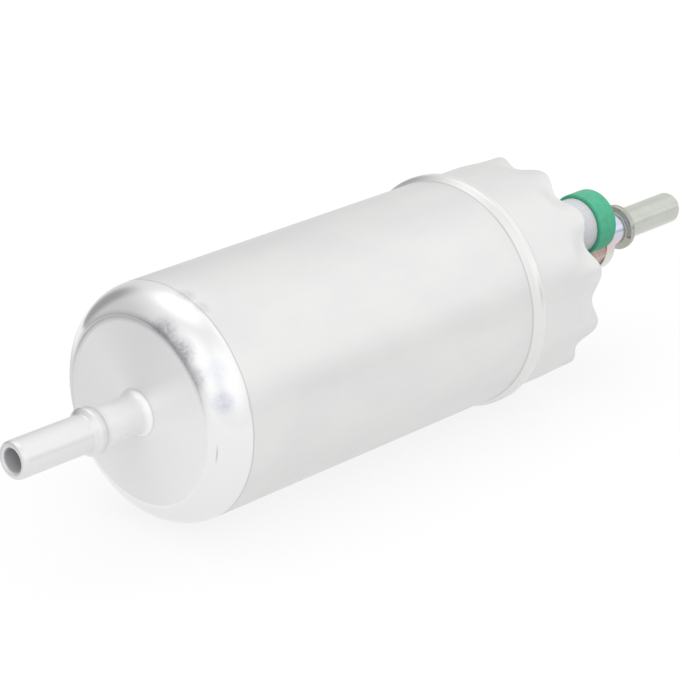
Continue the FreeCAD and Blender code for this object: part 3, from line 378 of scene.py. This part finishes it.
# The inlet nipple: turned from aluminium bar, with a rolled stop bead. Its root flares on to the end face
# and is rolled over inside. A push-on connector seals on its tip.
NIPPLE_RADIUS = 4.745
NIPPLE_BORE = 2.95
NIPPLE_FLARE = 6.1
TIP_X = FACE_X - 38.2
STOP_X = TIP_X + 21.2
STOP_RADIUS = NIPPLE_RADIUS + 1.25
ROLLED_RADIUS = 7.5
ROLLED_END = FACE_X + 3.6
FLARE_LENGTH = 2.4
FLARE_STEPS = 16
flare = []
for step in range(FLARE_STEPS + 1):
    angle = math.pi / 2 * step / FLARE_STEPS
    flare.append((FACE_X - 0.03 - FLARE_LENGTH * (1 - math.sin(angle)),
                  NIPPLE_RADIUS + (NIPPLE_FLARE - NIPPLE_RADIUS) * (1 - math.cos(angle))))
nipple_mesh = bmesh.new()
lathe(nipple_mesh, rounded([
    (TIP_X + 0.5, NIPPLE_BORE, 0), (TIP_X, NIPPLE_BORE + 0.45, 0.3), (TIP_X, NIPPLE_RADIUS - 0.2, 0.8),
    (TIP_X + 1.2, NIPPLE_RADIUS, 0.8), (STOP_X, NIPPLE_RADIUS, 0.5), (STOP_X + 1.0, STOP_RADIUS, 0.9),
    (STOP_X + 3.0, STOP_RADIUS, 0.9), (STOP_X + 4.0, NIPPLE_RADIUS, 0.5), (STOP_X + 6.0, NIPPLE_RADIUS, 0),
]) + flare + rounded([
    (FACE_X + 0.3, NIPPLE_FLARE - 0.2, 0), (FACE_X + 0.3, FACE_HOLE, 0), (FACE_X + 2.0, FACE_HOLE, 0.2),
    (FACE_X + 2.0, ROLLED_RADIUS, 0.3), (ROLLED_END, ROLLED_RADIUS, 0.4), (ROLLED_END, NIPPLE_BORE, 0),
]), 192)
nipple = finish_mesh("inlet_nipple", nipple_mesh)
# Turned aluminium: bright and smooth, with rings too faint to count. The bore is left rough from the drill,
# so it scatters light instead of mirroring it.
turned_aluminium, tree, shader, place = new_material("turned_aluminium")
x, y, z = add_node(tree, "SeparateXYZ", place).node.outputs
out = from_axis(tree, y, z)
outside = add_node(tree, "MapRange", out, (NIPPLE_BORE + 0.1) * MM, (NIPPLE_BORE + 0.3) * MM)
ring_place = add_node(tree, "Mapping", place, Scale=grain_size(0.5, 60.0, 60.0))
rings = add_node(tree, "TexNoise", ring_place, Scale=1.0, Detail=2.0)
skin = add_node(tree, "Mix", rings, "DFDFDF", "E8E8E8", data_type="RGBA")
by_root = add_node(tree, "MapRange", x, (STOP_X + 2) * MM, (STOP_X + 6) * MM,
                   interpolation_type="SMOOTHSTEP")
# Towards the root the colour is lifted to near white: painted light.
skin = add_node(tree, "Mix", by_root, skin, "F6F6F6", data_type="RGBA")
# A painted shade darkens the outer edge of the flare, where it meets the face.
flare_edge_shade = add_node(tree, "MapRange", out, (NIPPLE_FLARE - 0.7) * MM, NIPPLE_FLARE * MM, 0.0, 0.3,
                   interpolation_type="SMOOTHSTEP")
flare_edge_shade = add_node(tree, "Math", flare_edge_shade, by_root, operation="MULTIPLY")
skin = add_node(tree, "Mix", flare_edge_shade, skin, "9A9B9F", data_type="RGBA")
tree.links.new(add_node(tree, "Mix", outside, "D0D0D2", skin, data_type="RGBA"), shader["Base Color"])
tree.links.new(add_node(tree, "MapRange", outside, 0.0, 1.0, 0.15, 1.0), shader["Metallic"])
skin_gloss = add_node(tree, "MapRange", rings, 0.3, 0.7, 0.28, 0.32)
skin_gloss = add_node(tree, "Math", by_root, 0.2, skin_gloss, operation="MULTIPLY_ADD")
tree.links.new(add_node(tree, "Mix", outside, 0.7, skin_gloss), shader["Roughness"])
tree.links.new(add_node(tree, "Bump", Height=rings, Strength=0.2, Distance=0.002 * MM), shader["Normal"])
dress(nipple, turned_aluminium, "housing", "nipple", "inlet_fitting")

# The strainer cap over the inlet: woven stainless wire, clipped on the rolled flange. Bright wires stand
# on dark gaps. They are drawn 0.4 mm apart, which is coarser than a real strainer's weave.
WIRE_SPACING = 0.4


def coat(material, *names):
    """Give CAD nodes that keep their own shape a finish."""
    for name in names:
        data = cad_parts[name].data
        data.materials.clear()
        data.materials.append(material)


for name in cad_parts:
    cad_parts[name].data.materials.clear()

mesh_wire, tree, shader, place = new_material("woven_stainless_mesh", Metallic=1.0, Roughness=0.35)
y, z = add_node(tree, "SeparateXYZ", place).node.outputs[1:]
turns = 2 * math.pi / (WIRE_SPACING * MM)
across = add_node(tree, "Math", add_node(tree, "Math", y, turns, operation="MULTIPLY"), operation="SINE")
along = add_node(tree, "Math", add_node(tree, "Math", z, turns, operation="MULTIPLY"), operation="SINE")
woven = add_node(tree, "Math", across, along, operation="MAXIMUM")
wires = add_node(tree, "MapRange", woven, -0.2, 0.6, interpolation_type="SMOOTHSTEP")
tree.links.new(add_node(tree, "Mix", wires, "2C2C2B", "B9B8B3", data_type="RGBA"), shader["Base Color"])
tree.links.new(add_node(tree, "Bump", Height=wires, Strength=0.8, Distance=0.1 * MM), shader["Normal"])
coat(mesh_wire, "inlet_strainer")


def grained(name, dark, light, rough, size, depth, spread=0.12, **surface):
    """A surface whose tone, gloss and relief follow a grain of this size in millimetres."""
    material, tree, shader, place = new_material(name, **surface)
    grain_place = add_node(tree, "Mapping", place, Scale=grain_size(*size))
    grains = add_node(tree, "TexNoise", grain_place, Scale=1.0, Detail=4.0)
    tone = add_node(tree, "MapRange", grains, 0.35, 0.65, interpolation_type="SMOOTHSTEP")
    tree.links.new(add_node(tree, "Mix", tone, dark, light, data_type="RGBA"), shader["Base Color"])
    tree.links.new(add_node(tree, "MapRange", grains, 0.3, 0.7, rough, rough + spread), shader["Roughness"])
    tree.links.new(add_node(tree, "Bump", Height=grains, Strength=0.5, Distance=depth * MM), shader["Normal"])
    return material


# The pump section: two port plates and a ring round two gear rotors, all sintered steel, ground or lapped.
# Three cap screws clamp them, black with oxide, which gives a low oily gloss.
coat(grained("ground_sintered_steel", "6E6E70", "8E8E90", 0.38, (0.25, 0.25, 0.25), 0.01, Metallic=1.0),
     "suction_plate", "pump_ring", "pressure_plate", "outer_rotor", "inner_rotor")
coat(grained("black_oxide_steel", "242426", "38383B", 0.3, (0.6, 0.6, 0.6), 0.01, Metallic=1.0),
     "pump_screws", "relief_plug")

# The relief valve's hardened ball and the armature's shaft. Both are hardened and ground, which leaves
# fine rings and a bright gloss.
coat(grained("ground_steel", "B4B5B8", "CFD0D2", 0.12, (0.2, 20.0, 20.0), 0.002, Metallic=1.0),
     "relief_ball", "armature_shaft")

# The springs and the magnet clips are drawn wire and strip, a little duller. Each spring is one helix of
# round wire.
drawn_steel = grained("drawn_spring_steel", "86868A", "B5B5B8", 0.25, (0.3, 0.3, 0.3), 0.004, Metallic=1.0)
coat(drawn_steel, "left_magnet_clip", "right_magnet_clip")
WIRE_RADIUS = 0.4
WIRE_STEPS = 40
WIRE_SIDES = 14
for label, coils, tilt, fixed_end, joint, travel in (
        ("relief_spring", 4, 0, -1, "relief_valve_lift", 2.0),
        ("check_valve_spring", 5, 0, 1, "check_valve_lift", 3.0),
        ("upper_brush_spring", 3, -90, 1, "upper_brush_slide", 2.0),
        ("lower_brush_spring", 3, 90, 1, "lower_brush_slide", 2.0)):
    low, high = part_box(label)
    middle = (low + high) / 2
    turned = Matrix.Rotation(math.radians(tilt), 3, "Y")
    along = turned @ Vector((1, 0, 0))
    length = abs((high - low).dot(along))
    coil_radius = (high.y - low.y) / 2 - WIRE_RADIUS * MM
    rise = (length - 2 * WIRE_RADIUS * MM) / (coils * WIRE_STEPS)
    spring_mesh = bmesh.new()
    rings = []
    for step in range(coils * WIRE_STEPS + 1):
        angle = 2 * math.pi * step / WIRE_STEPS
        outward = turned @ Vector((0, -math.sin(angle), math.cos(angle)))
        centre = middle + along * (WIRE_RADIUS * MM - length / 2 + rise * step) + outward * coil_radius
        ring = []
        for side in range(WIRE_SIDES):
            round_wire = 2 * math.pi * side / WIRE_SIDES
            spoke = outward * math.cos(round_wire) + along * math.sin(round_wire)
            ring.append(spring_mesh.verts.new(centre + spoke * WIRE_RADIUS * MM))
        rings.append(ring)
    for first, second in zip(rings, rings[1:]):
        for side in range(WIRE_SIDES):
            spring_mesh.faces.new((first[side], first[side - 1], second[side - 1], second[side]))
    spring_mesh.faces.new(rings[0])
    spring_mesh.faces.new(rings[-1])
    coil = finish_mesh(label.replace("spring", "coil"), spring_mesh)
    dress(coil, drawn_steel, "housing", "spring_steel", label)
    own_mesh(coil)

# The two bushes that carry the shaft: pressed from bronze powder, sintered and filled with oil, so their
# pores stay open.
coat(grained("sintered_bronze", "8C5F2C", "B98645", 0.42, (0.3, 0.3, 0.3), 0.03, Metallic=1.0),
     "front_bush", "rear_bush")

# The armature's core: a stack of punched electrical steel sheets, so its side shows a dark seam
# between each sheet and the next. Real sheets are 0.5 mm.
laminated, tree, shader, place = new_material("laminated_core_steel", Metallic=1.0)
SHEET = 0.5
x = add_node(tree, "SeparateXYZ", place).node.outputs["X"]
sheet_turns = add_node(tree, "Math", x, 2 * math.pi / (SHEET * MM), operation="MULTIPLY")
sheets = add_node(tree, "Math", sheet_turns, operation="SINE")
seam = add_node(tree, "MapRange", sheets, 0.55, 0.95, interpolation_type="SMOOTHSTEP")
cut_place = add_node(tree, "Mapping", place, Scale=grain_size(0.5, 2.0, 2.0))
cut = add_node(tree, "TexNoise", cut_place, Scale=1.0, Detail=3.0)
cut_colour = add_node(tree, "Mix", cut, "5C5E63", "7A7C80", data_type="RGBA")
tree.links.new(add_node(tree, "Mix", seam, cut_colour, "2A2B2E", data_type="RGBA"), shader["Base Color"])
tree.links.new(add_node(tree, "MapRange", cut, 0.3, 0.7, 0.35, 0.5), shader["Roughness"])
sunk = add_node(tree, "Math", 1.0, seam, operation="SUBTRACT")
tree.links.new(add_node(tree, "Bump", Height=sunk, Strength=0.6, Distance=0.05 * MM), shader["Normal"])
coat(laminated, "armature_core")

# The windings: enamelled copper wire laid in the core's slots and round its ends. The strands are drawn
# as ridges, fewer and coarser than the real wires, and the clear enamel over them gives a hard wet gloss.
enamelled, tree, shader, place = new_material("enamelled_copper_wire", Metallic=0.6, Coat_Weight=0.7,
                                              Coat_Roughness=0.1)
STRANDS_ROUND = 140.0
y, z = add_node(tree, "SeparateXYZ", place).node.outputs[1:]
turnwise = add_node(tree, "Math", add_node(tree, "Math", z, y, operation="ARCTAN2"), STRANDS_ROUND,
                    operation="MULTIPLY")
strands = add_node(tree, "Math", turnwise, operation="SINE")
strand_tone = add_node(tree, "MapRange", strands, -0.6, 0.8, interpolation_type="SMOOTHSTEP")
tree.links.new(add_node(tree, "Mix", strand_tone, "5A2410", "B5602A", data_type="RGBA"), shader["Base Color"])
varnish_place = add_node(tree, "Mapping", place, Scale=grain_size(4.0, 1.0, 1.0))
varnish = add_node(tree, "TexNoise", varnish_place, Scale=1.0, Detail=3.0)
tree.links.new(add_node(tree, "MapRange", varnish, 0.3, 0.7, 0.2, 0.35), shader["Roughness"])
tree.links.new(add_node(tree, "Bump", Height=strands, Strength=0.7, Distance=0.12 * MM), shader["Normal"])
coat(enamelled, "armature_windings")

# The commutator: copper bars turned bright, with a brown track where the brushes run. The thrust
# washers beside it are phenolic fibre, brown and faintly layered.
coat(grained("turned_copper_bars", "9C5A34", "D08A5C", 0.22, (0.25, 30.0, 30.0), 0.006, Metallic=1.0),
     "commutator")
coat(grained("phenolic_fibre", "5B4426", "7D6138", 0.55, (0.2, 2.0, 2.0), 0.02), "thrust_washers")

# The motor's field: a drawn steel flux tube, and two ferrite magnets pressed, fired and ground,
# almost black and fully matt.
coat(grained("drawn_flux_steel", "77797C", "96989B", 0.4, (12.0, 0.8, 0.8), 0.01, Metallic=1.0), "flux_tube")
coat(grained("fired_ferrite", "2B2B2E", "434347", 0.6, (0.5, 0.5, 0.5), 0.03), "upper_magnet", "lower_magnet")

# The brush gear: a glass-filled moulding whose channels hold two copper-graphite brushes. The bearing
# carrier in the end cover is moulded from the same black nylon.
coat(grained("glass_filled_polyamide", "1A1A1B", "2B2B2C", 0.48, (0.9, 0.3, 0.3), 0.02), "brush_holder",
     "bearing_carrier")
coat(grained("copper_graphite", "201D1C", "5A3A2C", 0.5, (0.15, 0.15, 0.15), 0.02, Metallic=0.25),
     "upper_brush", "lower_brush")

# The end cover: one pale moulding that closes the can, with the outlet tower and the connector socket.
# The crimped rim holds it, and an O-ring under the rim seals it.
COVER_START = 48.1
COVER_RADIUS = 28.3
COVER_BORE = 24.0
COVER_FLOOR = 63.1
GROOVE_END = 66.5
GROOVE_RADIUS = 26.2
COVER_FACE = 74.8
FACE_RADIUS = 26.6
CHAMBER_FLOOR = 66.1
CHAMBER_RADIUS = 6.0
VALVE_HOLE = 3.6
TOWER_STEP = 86.1
TOWER_END = 93.1
TOWER_RADIUS = 12.0
NOSE_RADIUS = 9.0
SOCKET_Y = -12.58
SOCKET_Z = 12.24
SOCKET_END = 95.3
SOCKET_FLOOR = SOCKET_END - 14.0
SOCKET_RADIUS = 7.4
SOCKET_BORE = 5.6
SEAL_X = 87.6
SEAL_END = 94.4
SEAT_RADIUS = 6.9
cover_mesh = bmesh.new()
lathe(cover_mesh, rounded([
    (COVER_START, COVER_BORE, 0), (COVER_START, COVER_RADIUS, 0.3), (COVER_FLOOR, COVER_RADIUS, 0),
    (COVER_FLOOR, GROOVE_RADIUS, 0), (GROOVE_END, GROOVE_RADIUS, 0), (GROOVE_END, COVER_RADIUS, 0),
    (LIP_START, COVER_RADIUS, 0.2), (LIP_START, FACE_RADIUS, 0.3), (COVER_FACE, FACE_RADIUS, 0.9),
    (COVER_FACE, TOWER_RADIUS, 1.2), (TOWER_STEP, TOWER_RADIUS, 0.7), (TOWER_STEP, NOSE_RADIUS, 0.5),
    (TOWER_END, NOSE_RADIUS, 0.6), (TOWER_END, CHAMBER_RADIUS, 0.2), (CHAMBER_FLOOR, CHAMBER_RADIUS, 0),
    (CHAMBER_FLOOR, VALVE_HOLE, 0.3), (COVER_FLOOR, VALVE_HOLE, 0.2), (COVER_FLOOR, COVER_BORE, 0.5),
]), 256)
lathe(cover_mesh, rounded([
    (COVER_FACE - 0.6, SOCKET_RADIUS + 0.7, 0), (COVER_FACE - 0.05, SOCKET_RADIUS + 0.7, 0),
    (COVER_FACE - 0.05, SOCKET_RADIUS, 0.7), (SEAL_X, SOCKET_RADIUS, 0.15), (SEAL_X, SEAT_RADIUS, 0.15),
    (SEAL_END, SEAT_RADIUS, 0.1), (SEAL_END, SOCKET_RADIUS, 0.1), (SOCKET_END, SOCKET_RADIUS, 0.3),
    (SOCKET_END, SOCKET_BORE, 0.5), (SOCKET_FLOOR, SOCKET_BORE, 0.3), (SOCKET_FLOOR, 0.01, 0),
    (SOCKET_FLOOR - 1.0, 0.01, 0), (SOCKET_FLOOR - 1.0, SOCKET_BORE, 0), (COVER_FACE - 0.6, SOCKET_BORE, 0),
]), 128, SOCKET_Y, SOCKET_Z)
cover = finish_mesh("end_cover_moulding", cover_mesh)
# Moulded acetal, a pale lavender grey: a soft even gloss with a very fine texture from the mould.
moulding = grained("moulded_acetal", "CECFD3", "D6D7DA", 0.42, (0.8, 0.8, 0.8), 0.01, 0.08, IOR=1.48)
dress(cover, moulding, "housing", "cover", "end_cover")
coat(grained("fluoro_rubber", "121212", "1E1E1F", 0.5, (0.4, 0.4, 0.4), 0.01), "cover_o_ring")

# The connector's seal: a moulded green ring with round edges, on its seat round the socket.
# Silicone rubber: a clear mid green, half matt, with the faint bloom of the mould.
SEAL_RADIUS = 8.35
seal_mesh = bmesh.new()
lathe(seal_mesh, rounded([
    (SEAL_X + 0.6, SEAT_RADIUS + 0.02, 0), (SEAL_X + 0.03, SEAT_RADIUS + 0.5, 0.3),
    (SEAL_X + 0.03, SEAL_RADIUS, 0.5), (SEAL_END - 0.03, SEAL_RADIUS, 0.5),
    (SEAL_END - 0.03, SEAT_RADIUS + 0.02, 0),
]), 160, SOCKET_Y, SOCKET_Z)
seal = finish_mesh("connector_seal_ring", seal_mesh)
silicone = grained("green_silicone", "47AF87", "51B791", 0.45, (1.6, 1.6, 1.6), 0.02, 0.1, IOR=1.41)
dress(seal, silicone, "housing", "seal", "connector_seal")

# Two blades in the socket: brass strip, stamped and tinned, with their tips coined to a wedge
# so that the plug's contacts open over them.
WEDGE = 1.4
WEDGE_WIDTH = 0.72
WEDGE_THICKNESS = 0.4
BLADE_EDGE = 0.12
tinned = grained("tinned_brass", "B9B3A2", "D8D3C6", 0.25, (2.5, 0.4, 0.4), 0.006, Metallic=1.0)
for label in ("positive_terminal", "negative_terminal"):
    low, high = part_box(label)
    half_thick = (high.y - low.y) / 2
    middle = (high.y + low.y) / 2
    height = (high.z + low.z) / 2
    blade_mesh = bmesh.new()
    rows = []
    for x, across, thick in ((low.x, 1.0, 1.0), (high.x - WEDGE * MM, 1.0, 1.0),
                             (high.x, WEDGE_WIDTH, WEDGE_THICKNESS)):
        half_wide = (high.z - low.z) / 2 * across
        rows.append([blade_mesh.verts.new((x, middle + side * half_thick * thick, height + up * half_wide))
                     for side, up in ((-1, -1), (1, -1), (1, 1), (-1, 1))])
    for first, second in zip(rows, rows[1:]):
        for corner in range(4):
            blade_mesh.faces.new((first[corner], first[corner - 1], second[corner - 1], second[corner]))
    blade_mesh.faces.new(rows[0])
    blade_mesh.faces.new(rows[-1])
    bmesh.ops.bevel(blade_mesh, geom=blade_mesh.edges[:], offset=BLADE_EDGE * MM, segments=2,
                    affect="EDGES")
    blade = finish_mesh(label.replace("terminal", "blade"), blade_mesh)
    dress(blade, tinned, "housing", "terminal", label)

# The check valve's poppet, natural acetal, and the soft washer that seals the outlet fitting on the tower.
# The washer is stamped aluminium, dull from its annealing.
coat(grained("natural_acetal", "C9C2AE", "DAD4C3", 0.4, (0.9, 0.9, 0.9), 0.01), "check_valve_poppet")
WASHER_END = 94.6
WASHER_BORE = 6.05
WASHER_RADIUS = 8.9
washer_mesh = bmesh.new()
lathe(washer_mesh, rounded([
    (TOWER_END, WASHER_BORE, 0), (TOWER_END, WASHER_RADIUS, 0.25), (WASHER_END, WASHER_RADIUS, 0.25),
    (WASHER_END, WASHER_BORE, 0),
]), 128)
washer = finish_mesh("sealing_washer", washer_mesh)
dull_aluminium = grained("stamped_soft_aluminium", "B4B4B2", "CACAC7", 0.4, (1.0, 1.0, 1.0), 0.01,
                         Metallic=1.0)
dress(washer, dull_aluminium, "housing", "soft_washer", "outlet_washer")

# The outlet: a zinc-plated steel fitting screwed into the tower, here by a plain shank. It has a 17 mm
# hexagon, a round shoulder, a slim neck, a rolled stop bead and the tube that the fuel line seals on.
SHANK_START = 84.1
SHANK_BORE = 4.8
SHANK_FLOOR = 85.7
SHANK_CHAMFER = 0.6
HEX_FLATS = 17.0
HEX_END = 105.4
HEX_TURN = math.radians(7.0)
HEX_CHAMFER = 0.8
CHAMFER_STEPS = 10
HEX_COLLAR_RADIUS = 8.2
FLANGE_RADIUS = 9.1
FLANGE_END = 109.6
OUTLET_RADIUS = 4.35
BEAD_RADIUS = 6.3
BEAD_X = 118.9
OUTLET_TIP = 144.55
OUTLET_BORE = 2.95


def hexagon(x, r, angle):
    """Radius of the hexagon with its corners cut back by a 30 degree cone at both ends."""
    if not (WASHER_END - 0.01 <= x <= HEX_END + 0.01) or r < HEX_FLATS / 2 - 0.01:
        return r
    from_corner = (angle - HEX_TURN + math.pi / 6) % (math.pi / 3) - math.pi / 6
    across = HEX_FLATS / 2 / math.cos(math.pi / 6 - abs(from_corner))
    room = min(x - WASHER_END, HEX_END - x)
    cone = HEX_FLATS / 2 + 0.05 + room * math.tan(math.radians(60))
    return min(across, cone)


chamfer_run = [step / CHAMFER_STEPS for step in range(CHAMFER_STEPS + 1)]
hex_sections = [WASHER_END + HEX_CHAMFER * part for part in chamfer_run]
hex_sections += [HEX_END - HEX_CHAMFER * (1 - part) for part in chamfer_run]
outlet_outline = [
    (SHANK_START, SHANK_BORE), (SHANK_START, CHAMBER_RADIUS - SHANK_CHAMFER),
    (SHANK_START + SHANK_CHAMFER, CHAMBER_RADIUS), (WASHER_END, CHAMBER_RADIUS),
]
outlet_outline += [(x, HEX_FLATS / 2) for x in hex_sections]
outlet_outline += rounded([
    (HEX_END, HEX_COLLAR_RADIUS, 0), (HEX_END + 0.35, HEX_COLLAR_RADIUS, 0.1),
    (HEX_END + 0.35, FLANGE_RADIUS, 0.4), (FLANGE_END, FLANGE_RADIUS, 0.7),
    (FLANGE_END, OUTLET_RADIUS + 0.3, 0.9), (BEAD_X + 0.7, OUTLET_RADIUS + 0.2, 0.3),
    (BEAD_X + 1.2, BEAD_RADIUS - 0.25, 0.1), (BEAD_X + 1.6, BEAD_RADIUS, 0.2),
    (BEAD_X + 2.6, BEAD_RADIUS, 0.2), (BEAD_X + 3.1, BEAD_RADIUS - 0.7, 0.3),
    (BEAD_X + 3.8, OUTLET_RADIUS, 0.5), (OUTLET_TIP - 1.0, OUTLET_RADIUS, 1.0),
    (OUTLET_TIP, OUTLET_RADIUS - 0.5, 0.6), (OUTLET_TIP, OUTLET_BORE + 0.4, 0.3),
    (OUTLET_TIP - 0.5, OUTLET_BORE, 0),
])
outlet_outline += [(SHANK_FLOOR, OUTLET_BORE), (SHANK_FLOOR, SHANK_BORE)]
outlet_mesh = bmesh.new()
lathe(outlet_mesh, outlet_outline, 360, shape=hexagon)
outlet = finish_mesh("outlet_union", outlet_mesh, 30)

# Zinc plate with a thin clear passivation, whose thickness varies: greenish grey on the tube, lavender
# and pink on the neck, brown and pink on the hexagon. The steel under it is turned, so it shines.
zinc, tree, shader, place = new_material("passivated_zinc_plate", Metallic=1.0)
separated = add_node(tree, "SeparateXYZ", place).node.outputs
x, z = separated["X"], separated["Z"]
film_place = add_node(tree, "Mapping", place, Scale=grain_size(5.0, 3.0, 3.0))
film = add_node(tree, "TexNoise", film_place, Scale=1.0, Detail=2.0)
film_tone = add_node(tree, "MapRange", film, 0.3, 0.7, interpolation_type="SMOOTHSTEP")
ring_place = add_node(tree, "Mapping", place, Scale=grain_size(0.4, 40.0, 40.0))
rings = add_node(tree, "TexNoise", ring_place, Scale=1.0, Detail=2.0)
height = add_node(tree, "Math", film, 4 * MM, z, operation="MULTIPLY_ADD")
up_neck = add_node(tree, "MapRange", height, -2 * MM, 4 * MM, interpolation_type="SMOOTHSTEP")
neck_film = add_node(tree, "Mix", up_neck, "DBC6D2", "C8CFE0", data_type="RGBA")
hex_film = add_node(tree, "Mix", film_tone, "8F7A6E", "B7A29A", data_type="RGBA")
shoulder_film = add_node(tree, "Mix", up_neck, "D9DAD0", "D8C3C6", data_type="RGBA")
tube_film = add_node(tree, "Mix", film_tone, "C0C3BB", "C4C7C0", data_type="RGBA")
colour = hex_film
for edge, width, following in ((HEX_END, 0.4, shoulder_film), (FLANGE_END - 0.5, 1.3, neck_film),
                               (BEAD_X + 0.1, 0.8, tube_film)):
    past = add_node(tree, "MapRange", x, (edge - width / 2) * MM, (edge + width / 2) * MM,
                    interpolation_type="SMOOTHSTEP")
    colour = add_node(tree, "Mix", past, colour, following, data_type="RGBA")
# The stop bead is a darker grey than the tube: painted shade.
bead_near = add_node(tree, "MapRange", x, (BEAD_X - 0.3) * MM, (BEAD_X + 0.5) * MM)
bead_past = add_node(tree, "MapRange", x, (BEAD_X + 4.5) * MM, (BEAD_X + 3.7) * MM)
on_bead = add_node(tree, "Math", bead_near, bead_past, operation="MULTIPLY")
tree.links.new(add_node(tree, "Mix", on_bead, colour, "ACAFA5", data_type="RGBA"), shader["Base Color"])
tube_gloss = add_node(tree, "MapRange", rings, 0.3, 0.7, 0.14, 0.2)
tree.links.new(add_node(tree, "Mix", on_bead, tube_gloss, 0.06), shader["Roughness"])
tree.links.new(add_node(tree, "Bump", Height=rings, Strength=0.3, Distance=0.004 * MM), shader["Normal"])
dress(outlet, zinc, "housing", "zinc", "outlet_fitting")

# The floor that the pump lies on: white paper that glows, so that it shows white, over a greyer colour
# that keeps the pump's shadow light. Just behind the pump the metal mirrors a band of it darker than the
# camera sees it, a choice of lighting that was fitted to the photograph.
FLOOR_Z = -31.37
FLOOR_HALF_WIDTH = 4000.0
FLOOR_FRONT = -160.0
FLOOR_BACK = 350.0
PAPER_GLOW = 0.76
BAND_SHADE = 0.24
floor_mesh = bmesh.new()
corners = ((-FLOOR_HALF_WIDTH, FLOOR_FRONT), (FLOOR_HALF_WIDTH, FLOOR_FRONT),
           (FLOOR_HALF_WIDTH, FLOOR_BACK), (-FLOOR_HALF_WIDTH, FLOOR_BACK))
floor_mesh.faces.new([floor_mesh.verts.new(Vector((x, y, FLOOR_Z)) * MM) for x, y in corners])
floor_data = bpy.data.meshes.new("floor")
floor_mesh.to_mesh(floor_data)
floor_mesh.free()
floor = bpy.data.objects.new("floor", floor_data)
bpy.context.scene.collection.objects.link(floor)
paper, tree, shader, place = new_material("white_paper", Roughness=0.9, Base_Color=linear("808080"),
                                          Emission_Color=(1, 1, 1, 1))
rays = add_node(tree, "LightPath").node.outputs
mirrored = add_node(tree, "Math", rays["Is Glossy Ray"], rays["Is Transmission Ray"], operation="MAXIMUM")
y = add_node(tree, "SeparateXYZ", place).node.outputs["Y"]
behind = add_node(tree, "MapRange", y, 30 * MM, 70 * MM, interpolation_type="SMOOTHSTEP")
within = add_node(tree, "MapRange", y, 120 * MM, 190 * MM, 1.0, 0.0, interpolation_type="SMOOTHSTEP")
shaded = add_node(tree, "Math", behind, within, operation="MULTIPLY")
level = add_node(tree, "Math", shaded, -BAND_SHADE, PAPER_GLOW, operation="MULTIPLY_ADD")
shown = add_node(tree, "Math", rays["Is Camera Ray"], PAPER_GLOW, operation="MULTIPLY")
glow = add_node(tree, "Math", mirrored, level, shown, operation="MULTIPLY_ADD")
tree.links.new(glow, shader["Emission Strength"])
floor.data.materials.append(paper)

# The light tent: white all round, with nine soft panels, each given by its direction, reach and level.
# A level under 1 is a grey panel, which the burnished shoulder mirrors as a dark streak. A level over 1 is
# a soft box, which gives it a white one.
world = bpy.data.worlds.new("light_tent")
bpy.context.scene.world = world
world.use_nodes = True
tree = world.node_tree
background = tree.nodes["Background"]
background.inputs["Color"].default_value = (1, 1, 1, 1)
rays = add_node(tree, "LightPath").node.outputs
direction = add_node(tree, "TexCoord").node.outputs["Generated"]
tent = 1.0
for towards, reach, level in (
        ((-0.34, 0.94, 0.0), (1.54, 1.54, 1.0), 0.68), ((0.07, 0.99, 0.14), (0.38, 0.5, 0.6), 0.56),
        ((-0.85, 0.52, 0.06), (0.3, 0.3, 0.36), 0.72), ((0.05, 0.28, 0.96), (0.6, 0.6, 0.6), 1.35),
        ((-0.775, -0.345, 0.53), (0.7, 0.5, 0.85), 1.2), ((0.03, -0.84, 0.54), (0.8, 0.6, 0.75), 1.2),
        ((0.7, -0.25, 0.67), (0.6, 0.6, 0.6), 1.18), ((0.7, -0.66, 0.27), (0.25, 0.25, 0.22), 1.3),
        ((0.67, -0.74, -0.05), (0.15, 0.15, 0.12), 0.4)):
    from_middle = add_node(tree, "VectorMath", direction, towards, operation="SUBTRACT")
    away = add_node(tree, "VectorMath", add_node(tree, "VectorMath", from_middle, reach, operation="DIVIDE"),
                    operation="LENGTH")
    panel = add_node(tree, "MapRange", away, 1.0, 0.3, 1.0, level, interpolation_type="SMOOTHSTEP")
    tent = add_node(tree, "Math", tent, panel, operation="MULTIPLY")
seen = add_node(tree, "Math", rays["Is Camera Ray"], tent, operation="MAXIMUM")
tree.links.new(seen, background.inputs["Strength"])

# The camera, fitted to the photograph's ellipses and edges.
camera_data = bpy.data.cameras.new("camera")
camera_data.lens = 149.54
camera_data.sensor_width = 36.0
camera_data.clip_start = 0.01
camera = bpy.data.objects.new("camera", camera_data)
bpy.context.scene.collection.objects.link(camera)
camera.location = Vector((-465.47, -458.24, 265.76)) * MM
looking = Vector((0.66755, 0.64309, -0.37525))
camera.rotation_euler = looking.to_track_quat("-Z", "Y").to_euler()
bpy.context.scene.camera = camera
bpy.context.scene.view_settings.view_transform = "Standard"
